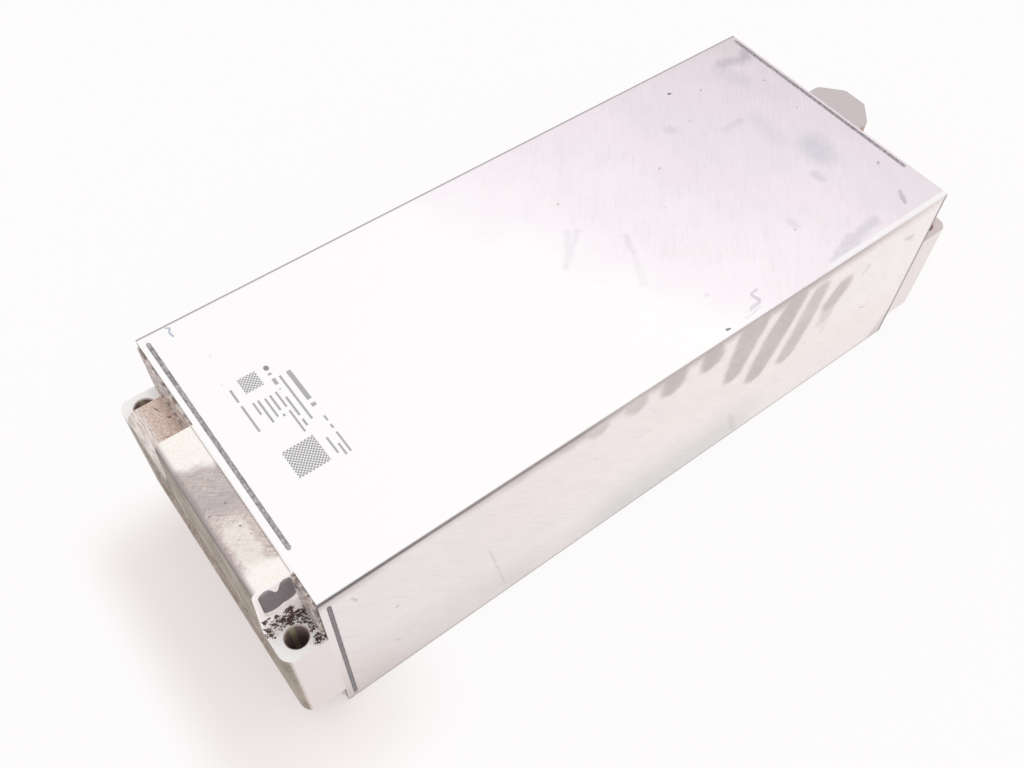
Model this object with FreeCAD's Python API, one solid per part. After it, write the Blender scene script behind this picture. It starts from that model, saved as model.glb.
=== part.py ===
import FreeCAD, Part
import math
import os

from FreeCAD import Vector

# A traction battery module: twelve flat pouch cells stood on edge in a welded aluminium box.
# X runs along the module, Y across the cell stack and Z up. The origin is the middle of the
# face that the module rests on. The end with the raised block is at -X, the terminals at +X.

# Sleeve, the extruded tube that makes the four long walls
sleeve_length = 352.0
sleeve_width = 149.0
sleeve_height = 108.0
sleeve_wall = 2.0
sleeve_outer_radius = 0.8
sleeve_inner_radius = 1.0

# Weld seams, shallow sunk lines where the laser joined the sleeve to the end castings
seam_width = 2.0
seam_depth = 0.25
front_seam_inset = 3.4
rear_seam_inset = 2.4
top_seam_near_margin = 24.8
top_seam_far_margin = 4.5
side_seam_inset = 4.0
side_seam_bottom = 3.1
side_seam_top_margin = 7.6

# End castings, outline shared by both ends
casting_overhang = 19.0
tongue_depth = 6.0
tongue_proud = 1.0
tongue_clearance = 0.1
pillar_bottom = 15.0
ear_drop = 34.0
pillar_width = 16.0
pillar_corner_radius = 6.5
machining_allowance = 0.5
ear_blend_radius = 1.5
bolt_hole_diameter = 9.5
bolt_hole_chamfer = 0.5
bolt_hole_from_sleeve = 9.3
bolt_hole_from_side = 8.2

# Pockets that leave ribs in the outer face of the castings
pocket_floor = 5.0
rib_thickness = 3.0
rim_thickness = 4.0
pocket_corner_radius = 3.0
front_rib_below_ear = 24.0
front_pocket_columns = 5
rear_pocket_columns = 4

# Front casting, block and shelf above the ears
block_width = 80.5
block_draft = 1.6
block_edge_radius = 3.5
block_corner_radius = 1.0
shelf_rise = 12.0
shelf_edge_radius = 5.0
dimple_outer = 15.7
dimple_inner = 1.2
dimple_top = 0.6
dimple_bottom = 21.2
dimple_corner_radius = 3.2
dimple_notch_width = 5.1
dimple_notch_depth = 6.8
dimple_notch_radius = 0.8
dimple_lip_radius = 1.8
dimple_corner_share = 0.69
dimple_lip_share = 0.39
dimple_depth = 0.8
dimple_start = 1.0

# Rear casting, parapet, gripper boss and windows
parapet_drop = 30.0
boss_reach = 16.2
boss_straight = 6.5
boss_base_width = 34.4
boss_front_width = 13.0
boss_corner_radius = 4.0
boss_height = 29.0
window_clearance = 0.3

# Stack across the width
cell_count = 12
cells_per_group = 2
pad_thickness = 1.0
side_pad_thickness = 1.4
stack_gap = 0.05

# Stack up the height
filler_thickness = 1.2
film_thickness = 0.5
space_over_cells = 3.5

# Pouch cell
seal_thickness = 0.6
seal_length = 5.0
shoulder_length = 3.0
pouch_edge_bevel = 1.5
tab_thickness = 0.4
tab_height = 45.0
tab_foot = 19.25
tab_fold_margin = 0.6

# Busbar frames, busbars and covers at each end of the cells
frame_thickness = 6.0
frame_side_clearance = 0.6
frame_end_clearance = 0.3
slot_width = 1.4
slot_margin = 1.5
busbar_thickness = 1.5
busbar_recess = 1.0
busbar_spacing = 1.25
busbar_corner_radius = 3.0
busbar_lip = 3.0
busbar_clearance = 0.3
fold_clearance = 0.05
cover_thickness = 1.2
cover_clearance = 0.3
cover_space = 1.5

# Power terminals
terminal_block_gap = 5.65
terminal_block_setback = 1.7
terminal_pad_drop = 24.5
tongue_side_gap = 3.5
tongue_thickness = 2.0
tongue_corner_radius = 3.0
terminal_guard_rise = 8.5
terminal_guard_wall = 2.5
terminal_corner_radius = 2.0
neck_side_wall = 3.0
neck_wall = 4.5
terminal_run_gap = 1.6
terminal_hole_diameter = 6.6
nut_across_flats = 10.0
nut_height = 5.0
nut_bore_diameter = 5.0
nut_clearance = 0.2
screw_room = 10.0

# Voltage sensing circuit and its connector
flex_thickness = 0.3
flex_width = 20.0
flex_strip_height = 9.5
flex_finger_width = 4.0
flex_finger_overlap = 2.5
flex_tail_width = 10.0
flex_tail_stand_off = 0.65
connector_width = 26.0
connector_height = 13.7
connector_reach = 12.0
connector_wall = 1.5
connector_inner_radius = 0.75
connector_floor = 3.0
connector_neck_margin = 2.0
pin_size = 0.64
pin_length = 4.5
pin_pitch = 2.54
pin_columns = 6
pin_rows = 2
sensor_length = 8.0
sensor_width = 4.0
sensor_height = 2.0
sensor_edge_radius = 0.7
sensor_spacing = 180.0

# Values worked out from the sizes above
half_length = sleeve_length / 2
half_width = sleeve_width / 2
inner_half_width = half_width - sleeve_wall
inner_bottom = sleeve_wall
inner_top = sleeve_height - sleeve_wall
inner_half_length = half_length - tongue_depth
wall_face = half_length + tongue_proud
casting_outer = half_length + casting_overhang
side_seam_top = sleeve_height - side_seam_top_margin

ear_height = sleeve_height - ear_drop
ear_inner = half_width - pillar_width
bolt_x = half_length + bolt_hole_from_sleeve
bolt_y = half_width - bolt_hole_from_side
front_rib_height = ear_height - front_rib_below_ear
shelf_height = ear_height + shelf_rise
parapet_height = ear_height - parapet_drop
boss_underside = sleeve_height - boss_height

cell_bottom = inner_bottom + filler_thickness + stack_gap
cell_top = inner_top - space_over_cells
group_count = cell_count // cells_per_group
stack_space = 2 * inner_half_width - 2 * (side_pad_thickness + stack_gap)
stack_space -= (group_count - 1) * (pad_thickness + stack_gap)
cell_pitch = stack_space / cell_count
cell_thickness = cell_pitch - stack_gap

cover_outer = inner_half_length - cover_clearance
cover_inner = cover_outer - cover_thickness
busbar_outer = cover_inner - cover_space - tab_thickness
busbar_inner = busbar_outer - busbar_thickness
frame_outer = busbar_inner + busbar_recess
frame_inner = frame_outer - frame_thickness
seal_end = frame_inner - frame_end_clearance
body_end = seal_end - seal_length - shoulder_length
tab_bottom = cell_bottom + tab_foot
tab_top = tab_bottom + tab_height
busbar_bottom = tab_bottom - busbar_lip
busbar_top = tab_top + busbar_lip
busbar_margin = (cell_pitch + pad_thickness + stack_gap - busbar_spacing) / 2
tab_fold = busbar_margin - tab_fold_margin

terminal_pad_height = sleeve_height - terminal_pad_drop
terminal_guard_height = terminal_pad_height + terminal_guard_rise
terminal_run_top = terminal_pad_height + tongue_thickness
terminal_run_bottom = busbar_top + terminal_run_gap
terminal_offset = (ear_inner + boss_base_width / 2) / 2
terminal_block_width = ear_inner - boss_base_width / 2 - 2 * terminal_block_gap
terminal_block_inner = wall_face + window_clearance
terminal_block_outer = casting_outer - terminal_block_setback
terminal_hole_x = (terminal_block_inner + terminal_block_outer - terminal_guard_wall) / 2
tongue_width = terminal_block_width - 2 * (terminal_guard_wall + tongue_side_gap)
neck_width = tongue_width + 2 * neck_side_wall
neck_bottom = terminal_pad_height - neck_wall
neck_top = terminal_run_top + neck_wall

connector_bottom = parapet_height + window_clearance
connector_top = connector_bottom + connector_height
flex_face = busbar_outer + fold_clearance
flex_outer = flex_face + flex_thickness
flex_bottom = cell_top + stack_gap
flex_strip_bottom = cell_top - flex_strip_height

# Near side and far side of the module, and the tolerance for picking faces and edges
both_sides = (-1, 1)
tolerance = 0.01


def box(x_range, y_range, z_range):
    """A block between two limits on each axis."""
    size = [limits[1] - limits[0] for limits in (x_range, y_range, z_range)]
    corner = Vector(x_range[0], y_range[0], z_range[0])
    return Part.makeBox(size[0], size[1], size[2], corner)


def prism_up(outline, bottom, top):
    """A flat outline of (x, y) points, raised from one height to another."""
    points = [Vector(x, y, bottom) for x, y in outline]
    face = Part.Face(Part.makePolygon(points + points[:1]))
    return face.extrude(Vector(0, 0, top - bottom))


def prism_across(outline, start, end):
    """A flat outline of (x, z) points, carried along Y."""
    points = [Vector(x, start, z) for x, z in outline]
    face = Part.Face(Part.makePolygon(points + points[:1]))
    return face.extrude(Vector(0, end - start, 0))


def edges_along(shape, axis, keep=None):
    """Straight edges of a shape that run along one axis, chosen by their middle point."""
    found = []
    for edge in shape.Edges:
        bounds = edge.BoundBox
        reach = (bounds.XLength, bounds.YLength, bounds.ZLength)[axis]
        if edge.Length < tolerance or reach < 0.999 * edge.Length:
            continue
        if keep is None or keep(edge.CenterOfMass):
            found.append(edge)
    return found


def round_edges(shape, radius, axis, keep=None):
    """Fillet the straight edges along one axis."""
    return shape.makeFillet(radius, edges_along(shape, axis, keep))


def rounded_tube_block(half_y, z_range, x_range, radius):
    """A bar along X whose four long edges are rounded."""
    bar = box(x_range, (-half_y, half_y), z_range)
    return round_edges(bar, radius, 0)


def mirrored(shape):
    """The same shape at the front end: x becomes -x."""
    return shape.mirror(Vector(0, 0, 0), Vector(1, 0, 0))


def seam_slot(start, end, across, inward):
    """A straight round-ended groove: across is its width direction, inward its depth."""
    along = end.sub(start)
    length = along.Length
    along.normalize()
    half = seam_width / 2
    corner = start.sub(across * half).sub(inward * seam_depth)
    face = Part.Face(
        Part.makePolygon(
            [
                corner,
                corner.add(along * length),
                corner.add(along * length).add(across * seam_width),
                corner.add(across * seam_width),
                corner,
            ]
        )
    )
    groove = face.extrude(inward * (2 * seam_depth))
    for point in (start, end):
        foot = point.sub(inward * seam_depth)
        groove = groove.fuse(Part.makeCylinder(half, 2 * seam_depth, foot, inward))
    return groove.removeSplitter()


def seam_grooves():
    """Seams over both ends of the top and bottom walls, and down the front of the sides."""
    x_axis = Vector(1, 0, 0)
    near = -half_width + top_seam_near_margin
    far = half_width - top_seam_far_margin
    grooves = []
    for x in (-half_length + front_seam_inset, half_length - rear_seam_inset):
        for z, inward in ((sleeve_height, Vector(0, 0, -1)), (0.0, Vector(0, 0, 1))):
            grooves.append(seam_slot(Vector(x, near, z), Vector(x, far, z), x_axis, inward))
    x = -half_length + side_seam_inset
    for side in both_sides:
        foot = Vector(x, side * half_width, side_seam_bottom + sleeve_outer_radius)
        head = Vector(x, side * half_width, side_seam_top)
        grooves.append(seam_slot(foot, head, x_axis, Vector(0, -side, 0)))
    return grooves


def make_sleeve():
    """Extruded tube with rounded long edges, open at both ends."""
    span = (-half_length, half_length)
    outer = rounded_tube_block(half_width, (0.0, sleeve_height), span, sleeve_outer_radius)
    bore = rounded_tube_block(inner_half_width, (inner_bottom, inner_top), span, sleeve_inner_radius)
    sleeve = outer.cut(bore)
    for groove in seam_grooves():
        sleeve = sleeve.cut(groove)
    return sleeve


def casting_tongue():
    """Wall of an end casting that fits into the end of the sleeve."""
    half = inner_half_width - tongue_clearance
    heights = (inner_bottom + tongue_clearance, inner_top - tongue_clearance)
    reach = (inner_half_length, wall_face)
    return rounded_tube_block(half, heights, reach, sleeve_inner_radius + tongue_clearance)


def casting_foot():
    """Outer body with both pillars, its cast corners cut flat by the machined side faces."""
    reach = (half_length, casting_outer)
    heights = (pillar_bottom, ear_height)
    cast_half = half_width + machining_allowance
    body = box(reach, (-cast_half, cast_half), heights)
    body = round_edges(body, pillar_corner_radius, 2, lambda middle: middle.x > wall_face)
    machined = box(reach, (-half_width, half_width), heights)
    return body.common(machined)


def bolt_holes():
    """Vertical through holes of one end, with a small chamfer at each mouth."""
    radius = bolt_hole_diameter / 2
    holes = []
    for side in both_sides:
        foot = Vector(bolt_x, side * bolt_y, pillar_bottom)
        hole = Part.makeCylinder(radius, ear_height - pillar_bottom, foot)
        wide = radius + bolt_hole_chamfer
        hole = hole.fuse(Part.makeCone(wide, radius, bolt_hole_chamfer, foot))
        head = foot.add(Vector(0, 0, ear_height - pillar_bottom - bolt_hole_chamfer))
        hole = hole.fuse(Part.makeCone(radius, wide, bolt_hole_chamfer, head))
        holes.append(hole)
    return holes


def rib_pockets(y_range, z_range, columns):
    """A row of rounded pockets from the outer face, with a rib left between neighbours."""
    floor = half_length + pocket_floor
    width = (y_range[1] - y_range[0] - (columns - 1) * rib_thickness) / columns
    pockets = []
    for column in range(columns):
        start = y_range[0] + column * (width + rib_thickness)
        pocket = box((floor, casting_outer), (start, start + width), z_range)
        pockets.append(round_edges(pocket, pocket_corner_radius, 0))
    return pockets


def casting_block():
    """Raised block of the front end, its outer face drafted.

    The corner fillets run on over the rounded edge and along both sides of the flush top.
    """
    near = -ear_inner
    far = near + block_width
    outline = [
        (half_length, ear_height),
        (casting_outer, ear_height),
        (casting_outer - block_draft, sleeve_height),
        (half_length, sleeve_height),
    ]
    block = prism_across(outline, near, far)
    top = sleeve_height - tolerance
    block = round_edges(block, block_edge_radius, 1, lambda m: m.z > top and m.x > wall_face)
    outer_corners = []
    for edge in block.Edges:
        if edge.CenterOfMass.x > wall_face and edge.BoundBox.ZLength > block_edge_radius:
            outer_corners.append(edge)
    return block.makeFillet(block_corner_radius, outer_corners)


def casting_shelf():
    """Lower step beside the block, with a large rounding along its outer edge."""
    near = -ear_inner + block_width
    shelf = box((half_length, casting_outer), (near, ear_inner), (ear_height, shelf_height))
    top = shelf_height - tolerance
    return round_edges(shelf, shelf_edge_radius, 1, lambda m: m.z > top and m.x > wall_face)


def casting_dimple():
    """Smooth kidney-shaped hollow in the wall of the block that faces the ear.

    A notch parts its top into two lobes, whose roundings stay within the width of a lobe.
    """
    near = -ear_inner - dimple_start
    far = -ear_inner + dimple_depth
    top = sleeve_height - dimple_top
    inner = half_length + dimple_inner
    outer = half_length + dimple_outer
    middle = (inner + outer) / 2
    lobe = (outer - inner - dimple_notch_width) / 2
    corner_radius = min(dimple_corner_radius, dimple_corner_share * lobe)
    lip_radius = min(dimple_lip_radius, dimple_lip_share * lobe)
    hollow = box((inner, outer), (near, far), (sleeve_height - dimple_bottom, top))
    hollow = round_edges(hollow, corner_radius, 1)
    notch = [
        (middle - dimple_notch_width / 2, top),
        (middle, top - dimple_notch_depth),
        (middle + dimple_notch_width / 2, top),
    ]
    hollow = hollow.cut(prism_across(notch, near, far))
    hollow = round_edges(hollow, dimple_notch_radius, 1, lambda m: abs(m.x - middle) < tolerance)
    beside_notch = dimple_notch_width / 2 + tolerance
    lips = lambda m: m.z > top - tolerance and abs(m.x - middle) < beside_notch
    return round_edges(hollow, lip_radius, 1, lips)


def at_ear_corner(middle):
    """True for the inside corners where the block and the shelf rise from the ears."""
    level = abs(middle.z - ear_height) < tolerance
    return level and abs(abs(middle.y) - ear_inner) < tolerance


def make_front_casting():
    """End casting with the block and shelf, built at +X and then mirrored to the front."""
    casting = casting_tongue().fuse([casting_foot(), casting_block(), casting_shelf()])
    casting = casting.removeSplitter()
    casting = round_edges(casting, ear_blend_radius, 0, at_ear_corner)
    low = (pillar_bottom + rim_thickness, front_rib_height - rib_thickness / 2)
    high = (front_rib_height + rib_thickness / 2, ear_height - rim_thickness)
    width = (-ear_inner + rib_thickness, ear_inner - rib_thickness)
    tools = rib_pockets(width, low, front_pocket_columns)
    tools += rib_pockets(width, high, front_pocket_columns)
    tools += bolt_holes()
    tools.append(casting_dimple())
    return mirrored(casting.cut(tools))


def boss_outline():
    """Gripper boss seen from above: a trapezoid that narrows away from the sleeve."""
    base = boss_base_width / 2
    front = boss_front_width / 2
    return [
        (half_length, -base),
        (half_length + boss_straight, -base),
        (half_length + boss_reach, -front),
        (half_length + boss_reach, front),
        (half_length + boss_straight, base),
        (half_length, base),
    ]


def gripper_boss():
    """Boss at the middle of the rear end, its underside sloped back to the wall."""
    slope_foot = boss_underside - boss_reach + tongue_proud
    boss = prism_up(boss_outline(), slope_foot, sleeve_height)
    boss = round_edges(boss, boss_corner_radius, 2, lambda middle: middle.x > wall_face)
    reach = half_length + boss_reach
    wedge = [
        (wall_face, slope_foot),
        (reach, boss_underside),
        (reach, slope_foot),
    ]
    return boss.cut(prism_across(wedge, -boss_base_width, boss_base_width))


def rear_windows(x_range):
    """Openings for the two terminal necks and the connector neck."""
    gap = window_clearance
    windows = []
    heights = (neck_bottom - gap, neck_top + gap)
    for side in both_sides:
        centre = side * terminal_offset
        half = neck_width / 2 + gap
        windows.append(box(x_range, (centre - half, centre + half), heights))
    half = connector_width / 2 - connector_neck_margin + gap
    heights = (connector_bottom + connector_neck_margin - gap, connector_top - connector_neck_margin + gap)
    windows.append(box(x_range, (-half, half), heights))
    return windows


def make_rear_casting():
    """End casting with a low ribbed parapet, the gripper boss and three windows."""
    casting = casting_tongue().fuse([casting_foot(), gripper_boss()]).removeSplitter()
    across = (-ear_inner, ear_inner)
    above = box((wall_face, casting_outer), across, (parapet_height, ear_height))
    above = above.cut(gripper_boss())
    width = (-ear_inner + rib_thickness, ear_inner - rib_thickness)
    heights = (pillar_bottom + rim_thickness, parapet_height - rim_thickness)
    tools = [above]
    tools += rib_pockets(width, heights, rear_pocket_columns)
    tools += bolt_holes()
    tools += rear_windows((inner_half_length, wall_face))
    return casting.cut(tools)


def cell_centre(index):
    """Middle of a cell across the stack, counted from the near side."""
    pads_before = index // cells_per_group
    start = -inner_half_width + side_pad_thickness + stack_gap
    return start + (index + 0.5) * cell_pitch + pads_before * (pad_thickness + stack_gap)


def fold_direction(index):
    """Tabs fold towards the middle of the module."""
    return 1 if cell_centre(index) < 0 else -1


def pouch_tab(index, end):
    """Metal tab: straight out of the seal, through its busbar, then folded flat on it."""
    centre = cell_centre(index)
    turn = fold_direction(index)
    half = tab_thickness / 2
    fold_inner = busbar_outer + fold_clearance
    fold_outer = fold_inner + tab_thickness
    start = seal_end - seal_length
    outline = [
        (start, centre - turn * half),
        (fold_outer, centre - turn * half),
        (fold_outer, centre + turn * tab_fold),
        (fold_inner, centre + turn * tab_fold),
        (fold_inner, centre + turn * half),
        (start, centre + turn * half),
    ]
    outline = [(end * x, y) for x, y in outline]
    return prism_up(outline, tab_bottom, tab_top)


def make_cell(index):
    """Pouch cell: a flat bag that tapers to a thin seal at each end, with its two tabs."""
    centre = cell_centre(index)
    thick = cell_thickness / 2
    thin = seal_thickness / 2
    shoulder = body_end + shoulder_length
    half_outline = [
        (body_end, -thick),
        (shoulder, -thin),
        (seal_end, -thin),
        (seal_end, thin),
        (shoulder, thin),
        (body_end, thick),
    ]
    outline = [(x, centre + y) for x, y in half_outline]
    outline += [(-x, centre - y) for x, y in half_outline]
    bag = prism_up(outline, cell_bottom, cell_top)
    long_edges = edges_along(bag, 0, lambda m: abs(abs(m.y - centre) - thick) < tolerance)
    bag = bag.makeChamfer(pouch_edge_bevel, long_edges)
    return bag.fuse([pouch_tab(index, -1), pouch_tab(index, 1)]).removeSplitter()


def make_pad(group):
    """Foam pad in the gap after a pair of cells."""
    last = group * cells_per_group + cells_per_group - 1
    start = cell_centre(last) + cell_pitch / 2
    return box((-body_end, body_end), (start, start + pad_thickness), (cell_bottom, cell_top))


def make_side_pad(side):
    """Foam sheet between the outermost cell and the wall of the sleeve."""
    wall = side * inner_half_width
    limits = sorted((wall, wall - side * side_pad_thickness))
    return box((-body_end, body_end), limits, (cell_bottom, cell_top))


def make_filler():
    """Layer of heat-conducting paste that the cells stand in."""
    half = inner_half_width - sleeve_inner_radius
    return box((-seal_end, seal_end), (-half, half), (inner_bottom, inner_bottom + filler_thickness))


def make_film():
    """Insulating film on the underside of the top wall."""
    half = inner_half_width - sleeve_inner_radius
    reach = inner_half_length - cover_clearance
    return box((-reach, reach), (-half, half), (inner_top - film_thickness, inner_top))


def busbar_cells(end):
    """Cell numbers joined by each busbar: all in fours at the front, the outer pairs apart behind."""
    size = 2 * cells_per_group
    first = 0 if end < 0 else cells_per_group
    last = cell_count if end < 0 else cell_count - cells_per_group
    return [list(range(start, start + size)) for start in range(first, last, size)]


def terminal_cells(side):
    """Cell numbers on the terminal busbar of one side."""
    if side < 0:
        return list(range(cells_per_group))
    return list(range(cell_count - cells_per_group, cell_count))


def busbar_span(cells, extra=0.0):
    """Width of a busbar across the tabs that it joins."""
    return (cell_centre(cells[0]) - busbar_margin - extra, cell_centre(cells[-1]) + busbar_margin + extra)


def tab_slots(cells, x_range):
    """Slots that let the tabs of some cells pass through a plate."""
    half = slot_width / 2
    heights = (tab_bottom - slot_margin, tab_top + slot_margin)
    return [box(x_range, (cell_centre(i) - half, cell_centre(i) + half), heights) for i in cells]


def make_link_busbar(cells, end):
    """Copper plate that joins one pair of cells to the next."""
    depth = (busbar_inner, busbar_outer)
    plate = box(depth, busbar_span(cells), (busbar_bottom, busbar_top))
    plate = round_edges(plate, busbar_corner_radius, 0)
    plate = plate.cut(tab_slots(cells, depth))
    return mirrored(plate) if end < 0 else plate


def terminal_run(side, extra=0.0):
    """Range across the width of the arm that leads from the outer cells to the terminal."""
    inner = terminal_offset - tongue_width / 2 - extra
    outer = abs(busbar_span(terminal_cells(side), extra)[0 if side < 0 else 1])
    return sorted((side * inner, side * outer))


def make_terminal_busbar(side):
    """Copper plate on the last pair, its arm over the next cells, and the tongue outside."""
    cells = terminal_cells(side)
    depth = (busbar_inner, busbar_outer)
    plate = box(depth, busbar_span(cells), (busbar_bottom, terminal_run_top))
    arm = box(depth, terminal_run(side), (terminal_run_bottom, terminal_run_top))
    centre = side * terminal_offset
    reach = terminal_block_outer - terminal_guard_wall - window_clearance
    across = (centre - tongue_width / 2, centre + tongue_width / 2)
    tongue = box((busbar_inner, reach), across, (terminal_pad_height, terminal_run_top))
    tongue = round_edges(tongue, tongue_corner_radius, 2, lambda m: m.x > half_length)
    bar = plate.fuse([arm, tongue]).removeSplitter()
    bar = bar.cut(tab_slots(cells, depth))
    foot = Vector(terminal_hole_x, centre, terminal_pad_height)
    return bar.cut(Part.makeCylinder(terminal_hole_diameter / 2, tongue_thickness, foot))


def hexagon(centre_x, centre_y, across_flats, bottom, top):
    """Upright six-sided prism."""
    radius = across_flats / math.sqrt(3)
    angles = [math.radians(60 * corner) for corner in range(6)]
    outline = [(centre_x + radius * math.cos(a), centre_y + radius * math.sin(a)) for a in angles]
    return prism_up(outline, bottom, top)


def make_terminal_block(side):
    """Plastic block that carries a terminal tongue, with a guard wall and a neck through the wall."""
    centre = side * terminal_offset
    inner = terminal_block_inner
    outer = terminal_block_outer
    half = terminal_block_width / 2
    block = box((inner, outer), (centre - half, centre + half), (parapet_height, terminal_guard_height))
    block = round_edges(block, terminal_corner_radius, 2)
    wall = terminal_guard_wall
    well_sides = (centre - half + wall, centre + half - wall)
    well = box((inner, outer - wall), well_sides, (terminal_pad_height, terminal_guard_height))
    well = round_edges(well, terminal_corner_radius, 2, lambda m: m.x > inner + tolerance)
    half = neck_width / 2
    neck = box((cover_inner, inner), (centre - half, centre + half), (neck_bottom, neck_top))
    half = tongue_width / 2 + window_clearance
    heights = (terminal_pad_height, terminal_run_top + window_clearance)
    passage = box((cover_inner, inner), (centre - half, centre + half), heights)
    block = block.cut(well).fuse(neck.cut(passage)).removeSplitter()
    size = nut_across_flats + 2 * nut_clearance
    bottom = terminal_pad_height - nut_height - nut_clearance
    pocket = hexagon(terminal_hole_x, centre, size, bottom, terminal_pad_height)
    foot = Vector(terminal_hole_x, centre, bottom - screw_room)
    return block.cut([pocket, Part.makeCylinder(terminal_hole_diameter / 2, screw_room, foot)])


def make_terminal_nuts():
    """Two captive hexagon nuts, one under each tongue."""
    nuts = []
    bottom = terminal_pad_height - nut_height - stack_gap
    for side in both_sides:
        centre = side * terminal_offset
        nut = hexagon(terminal_hole_x, centre, nut_across_flats, bottom, bottom + nut_height)
        foot = Vector(terminal_hole_x, centre, bottom)
        nuts.append(nut.cut(Part.makeCylinder(nut_bore_diameter / 2, nut_height, foot)))
    return nuts


def busbar_seats(end):
    """Recesses in a busbar frame, one for each plate that it holds."""
    gap = busbar_clearance
    depth = (busbar_inner, frame_outer)
    seats = []
    for cells in busbar_cells(end):
        seats.append(box(depth, busbar_span(cells, gap), (busbar_bottom - gap, busbar_top + gap)))
    if end > 0:
        for side in both_sides:
            span = busbar_span(terminal_cells(side), gap)
            seats.append(box(depth, span, (busbar_bottom - gap, terminal_run_top + gap)))
            heights = (terminal_run_bottom - gap, terminal_run_top + gap)
            seats.append(box(depth, terminal_run(side, gap), heights))
    return seats


def make_busbar_frame(end):
    """Plastic plate that holds the busbars, with a slot for every tab."""
    half = inner_half_width - frame_side_clearance
    plate = box((frame_inner, frame_outer), (-half, half), (cell_bottom, cell_top))
    plate = round_edges(plate, sleeve_inner_radius, 0)
    tools = tab_slots(range(cell_count), (frame_inner, frame_outer)) + busbar_seats(end)
    plate = plate.cut(tools)
    return mirrored(plate) if end < 0 else plate


def make_cover(end):
    """Thin plastic sheet between the busbars and the end casting."""
    half = inner_half_width - frame_side_clearance
    top = inner_top - film_thickness - cover_clearance
    sheet = box((cover_inner, cover_outer), (-half, half), (cell_bottom, top))
    sheet = round_edges(sheet, sleeve_inner_radius, 0)
    if end > 0:
        return sheet.cut(rear_windows((cover_inner, cover_outer)))
    return mirrored(sheet)


def flex_plane(end):
    """Thickness range of the sensing circuit at one end, where it lies over the busbars."""
    return sorted((end * flex_face, end * flex_outer))


def finger(centre, bottom, end):
    """One leg of the sensing circuit, down to the face of a busbar."""
    half = flex_finger_width / 2
    return box(flex_plane(end), (centre - half, centre + half), (bottom, flex_strip_bottom))


def flex_end(end):
    """Strip across one end of the stack with a leg to every busbar."""
    half = busbar_span(range(cell_count))[1]
    heights = (flex_strip_bottom, flex_bottom + flex_thickness)
    parts = [box(flex_plane(end), (-half, half), heights)]
    bottom = busbar_top - flex_finger_overlap
    for cells in busbar_cells(end):
        middle = sum(cell_centre(i) for i in cells) / len(cells)
        parts.append(finger(middle, bottom, end))
    if end > 0:
        bottom = terminal_run_top - flex_finger_overlap
        for side in both_sides:
            middle = sum(cell_centre(i) for i in terminal_cells(side)) / cells_per_group
            parts.append(finger(middle, bottom, end))
    return parts


def flex_tail():
    """Tail that steps out from the rear strip and hangs down to the connector."""
    half = flex_tail_width / 2
    outer = flex_outer + flex_tail_stand_off
    step_top = flex_strip_bottom + flex_tail_stand_off
    step = box((flex_face, outer), (-half, half), (flex_strip_bottom, step_top))
    bottom = (connector_bottom + connector_top) / 2
    hang = box((outer - flex_thickness, outer), (-half, half), (bottom, step_top))
    return [step, hang]


def make_flex():
    """Sensing circuit: a ribbon over the cells with an end strip at each busbar frame."""
    half = flex_width / 2
    ribbon = box((-flex_outer, flex_outer), (-half, half), (flex_bottom, flex_bottom + flex_thickness))
    return ribbon.fuse(flex_end(-1) + flex_end(1) + flex_tail()).removeSplitter()


def make_sensors():
    """Two temperature sensors on the cell edges, one on each side of the ribbon."""
    sensors = []
    start = flex_width / 2 + stack_gap
    half = sensor_length / 2
    heights = (flex_bottom, flex_bottom + sensor_height)
    for side in both_sides:
        x = side * sensor_spacing / 2
        across = sorted((side * start, side * (start + sensor_width)))
        bead = box((x - half, x + half), across, heights)
        sensors.append(round_edges(bead, sensor_edge_radius, 0, lambda m: m.z > flex_bottom + tolerance))
    return sensors


def make_connector():
    """Signal socket on the parapet, with a neck that reaches in to the tail of the circuit."""
    outer = wall_face + connector_reach
    bottom = connector_bottom
    top = connector_top
    half = connector_width / 2
    wall = connector_wall
    shell = round_edges(box((wall_face, outer), (-half, half), (bottom, top)), wall, 0)
    floor = wall_face + connector_floor
    well = box((floor, outer), (-half + wall, half - wall), (bottom + wall, top - wall))
    well = round_edges(well, connector_inner_radius, 0)
    margin = connector_neck_margin
    neck_start = flex_outer + flex_tail_stand_off + fold_clearance
    neck = box((neck_start, wall_face), (-half + margin, half - margin), (bottom + margin, top - margin))
    return shell.cut(well).fuse(neck).removeSplitter()


def make_connector_pins():
    """Rows of square contact pins in the socket."""
    floor = wall_face + connector_floor
    middle = (connector_bottom + connector_top) / 2
    half = pin_size / 2
    pins = []
    for row in range(pin_rows):
        z = middle + (row - (pin_rows - 1) / 2) * pin_pitch
        for column in range(pin_columns):
            y = (column - (pin_columns - 1) / 2) * pin_pitch
            pins.append(box((floor, floor + pin_length), (y - half, y + half), (z - half, z + half)))
    return pins


def save(name, shape):
    """Write one node, a single solid or a group of separate ones."""
    if isinstance(shape, list):
        shape = Part.makeCompound(shape)
    shape.exportStep("parts/" + name + ".step")


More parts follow.
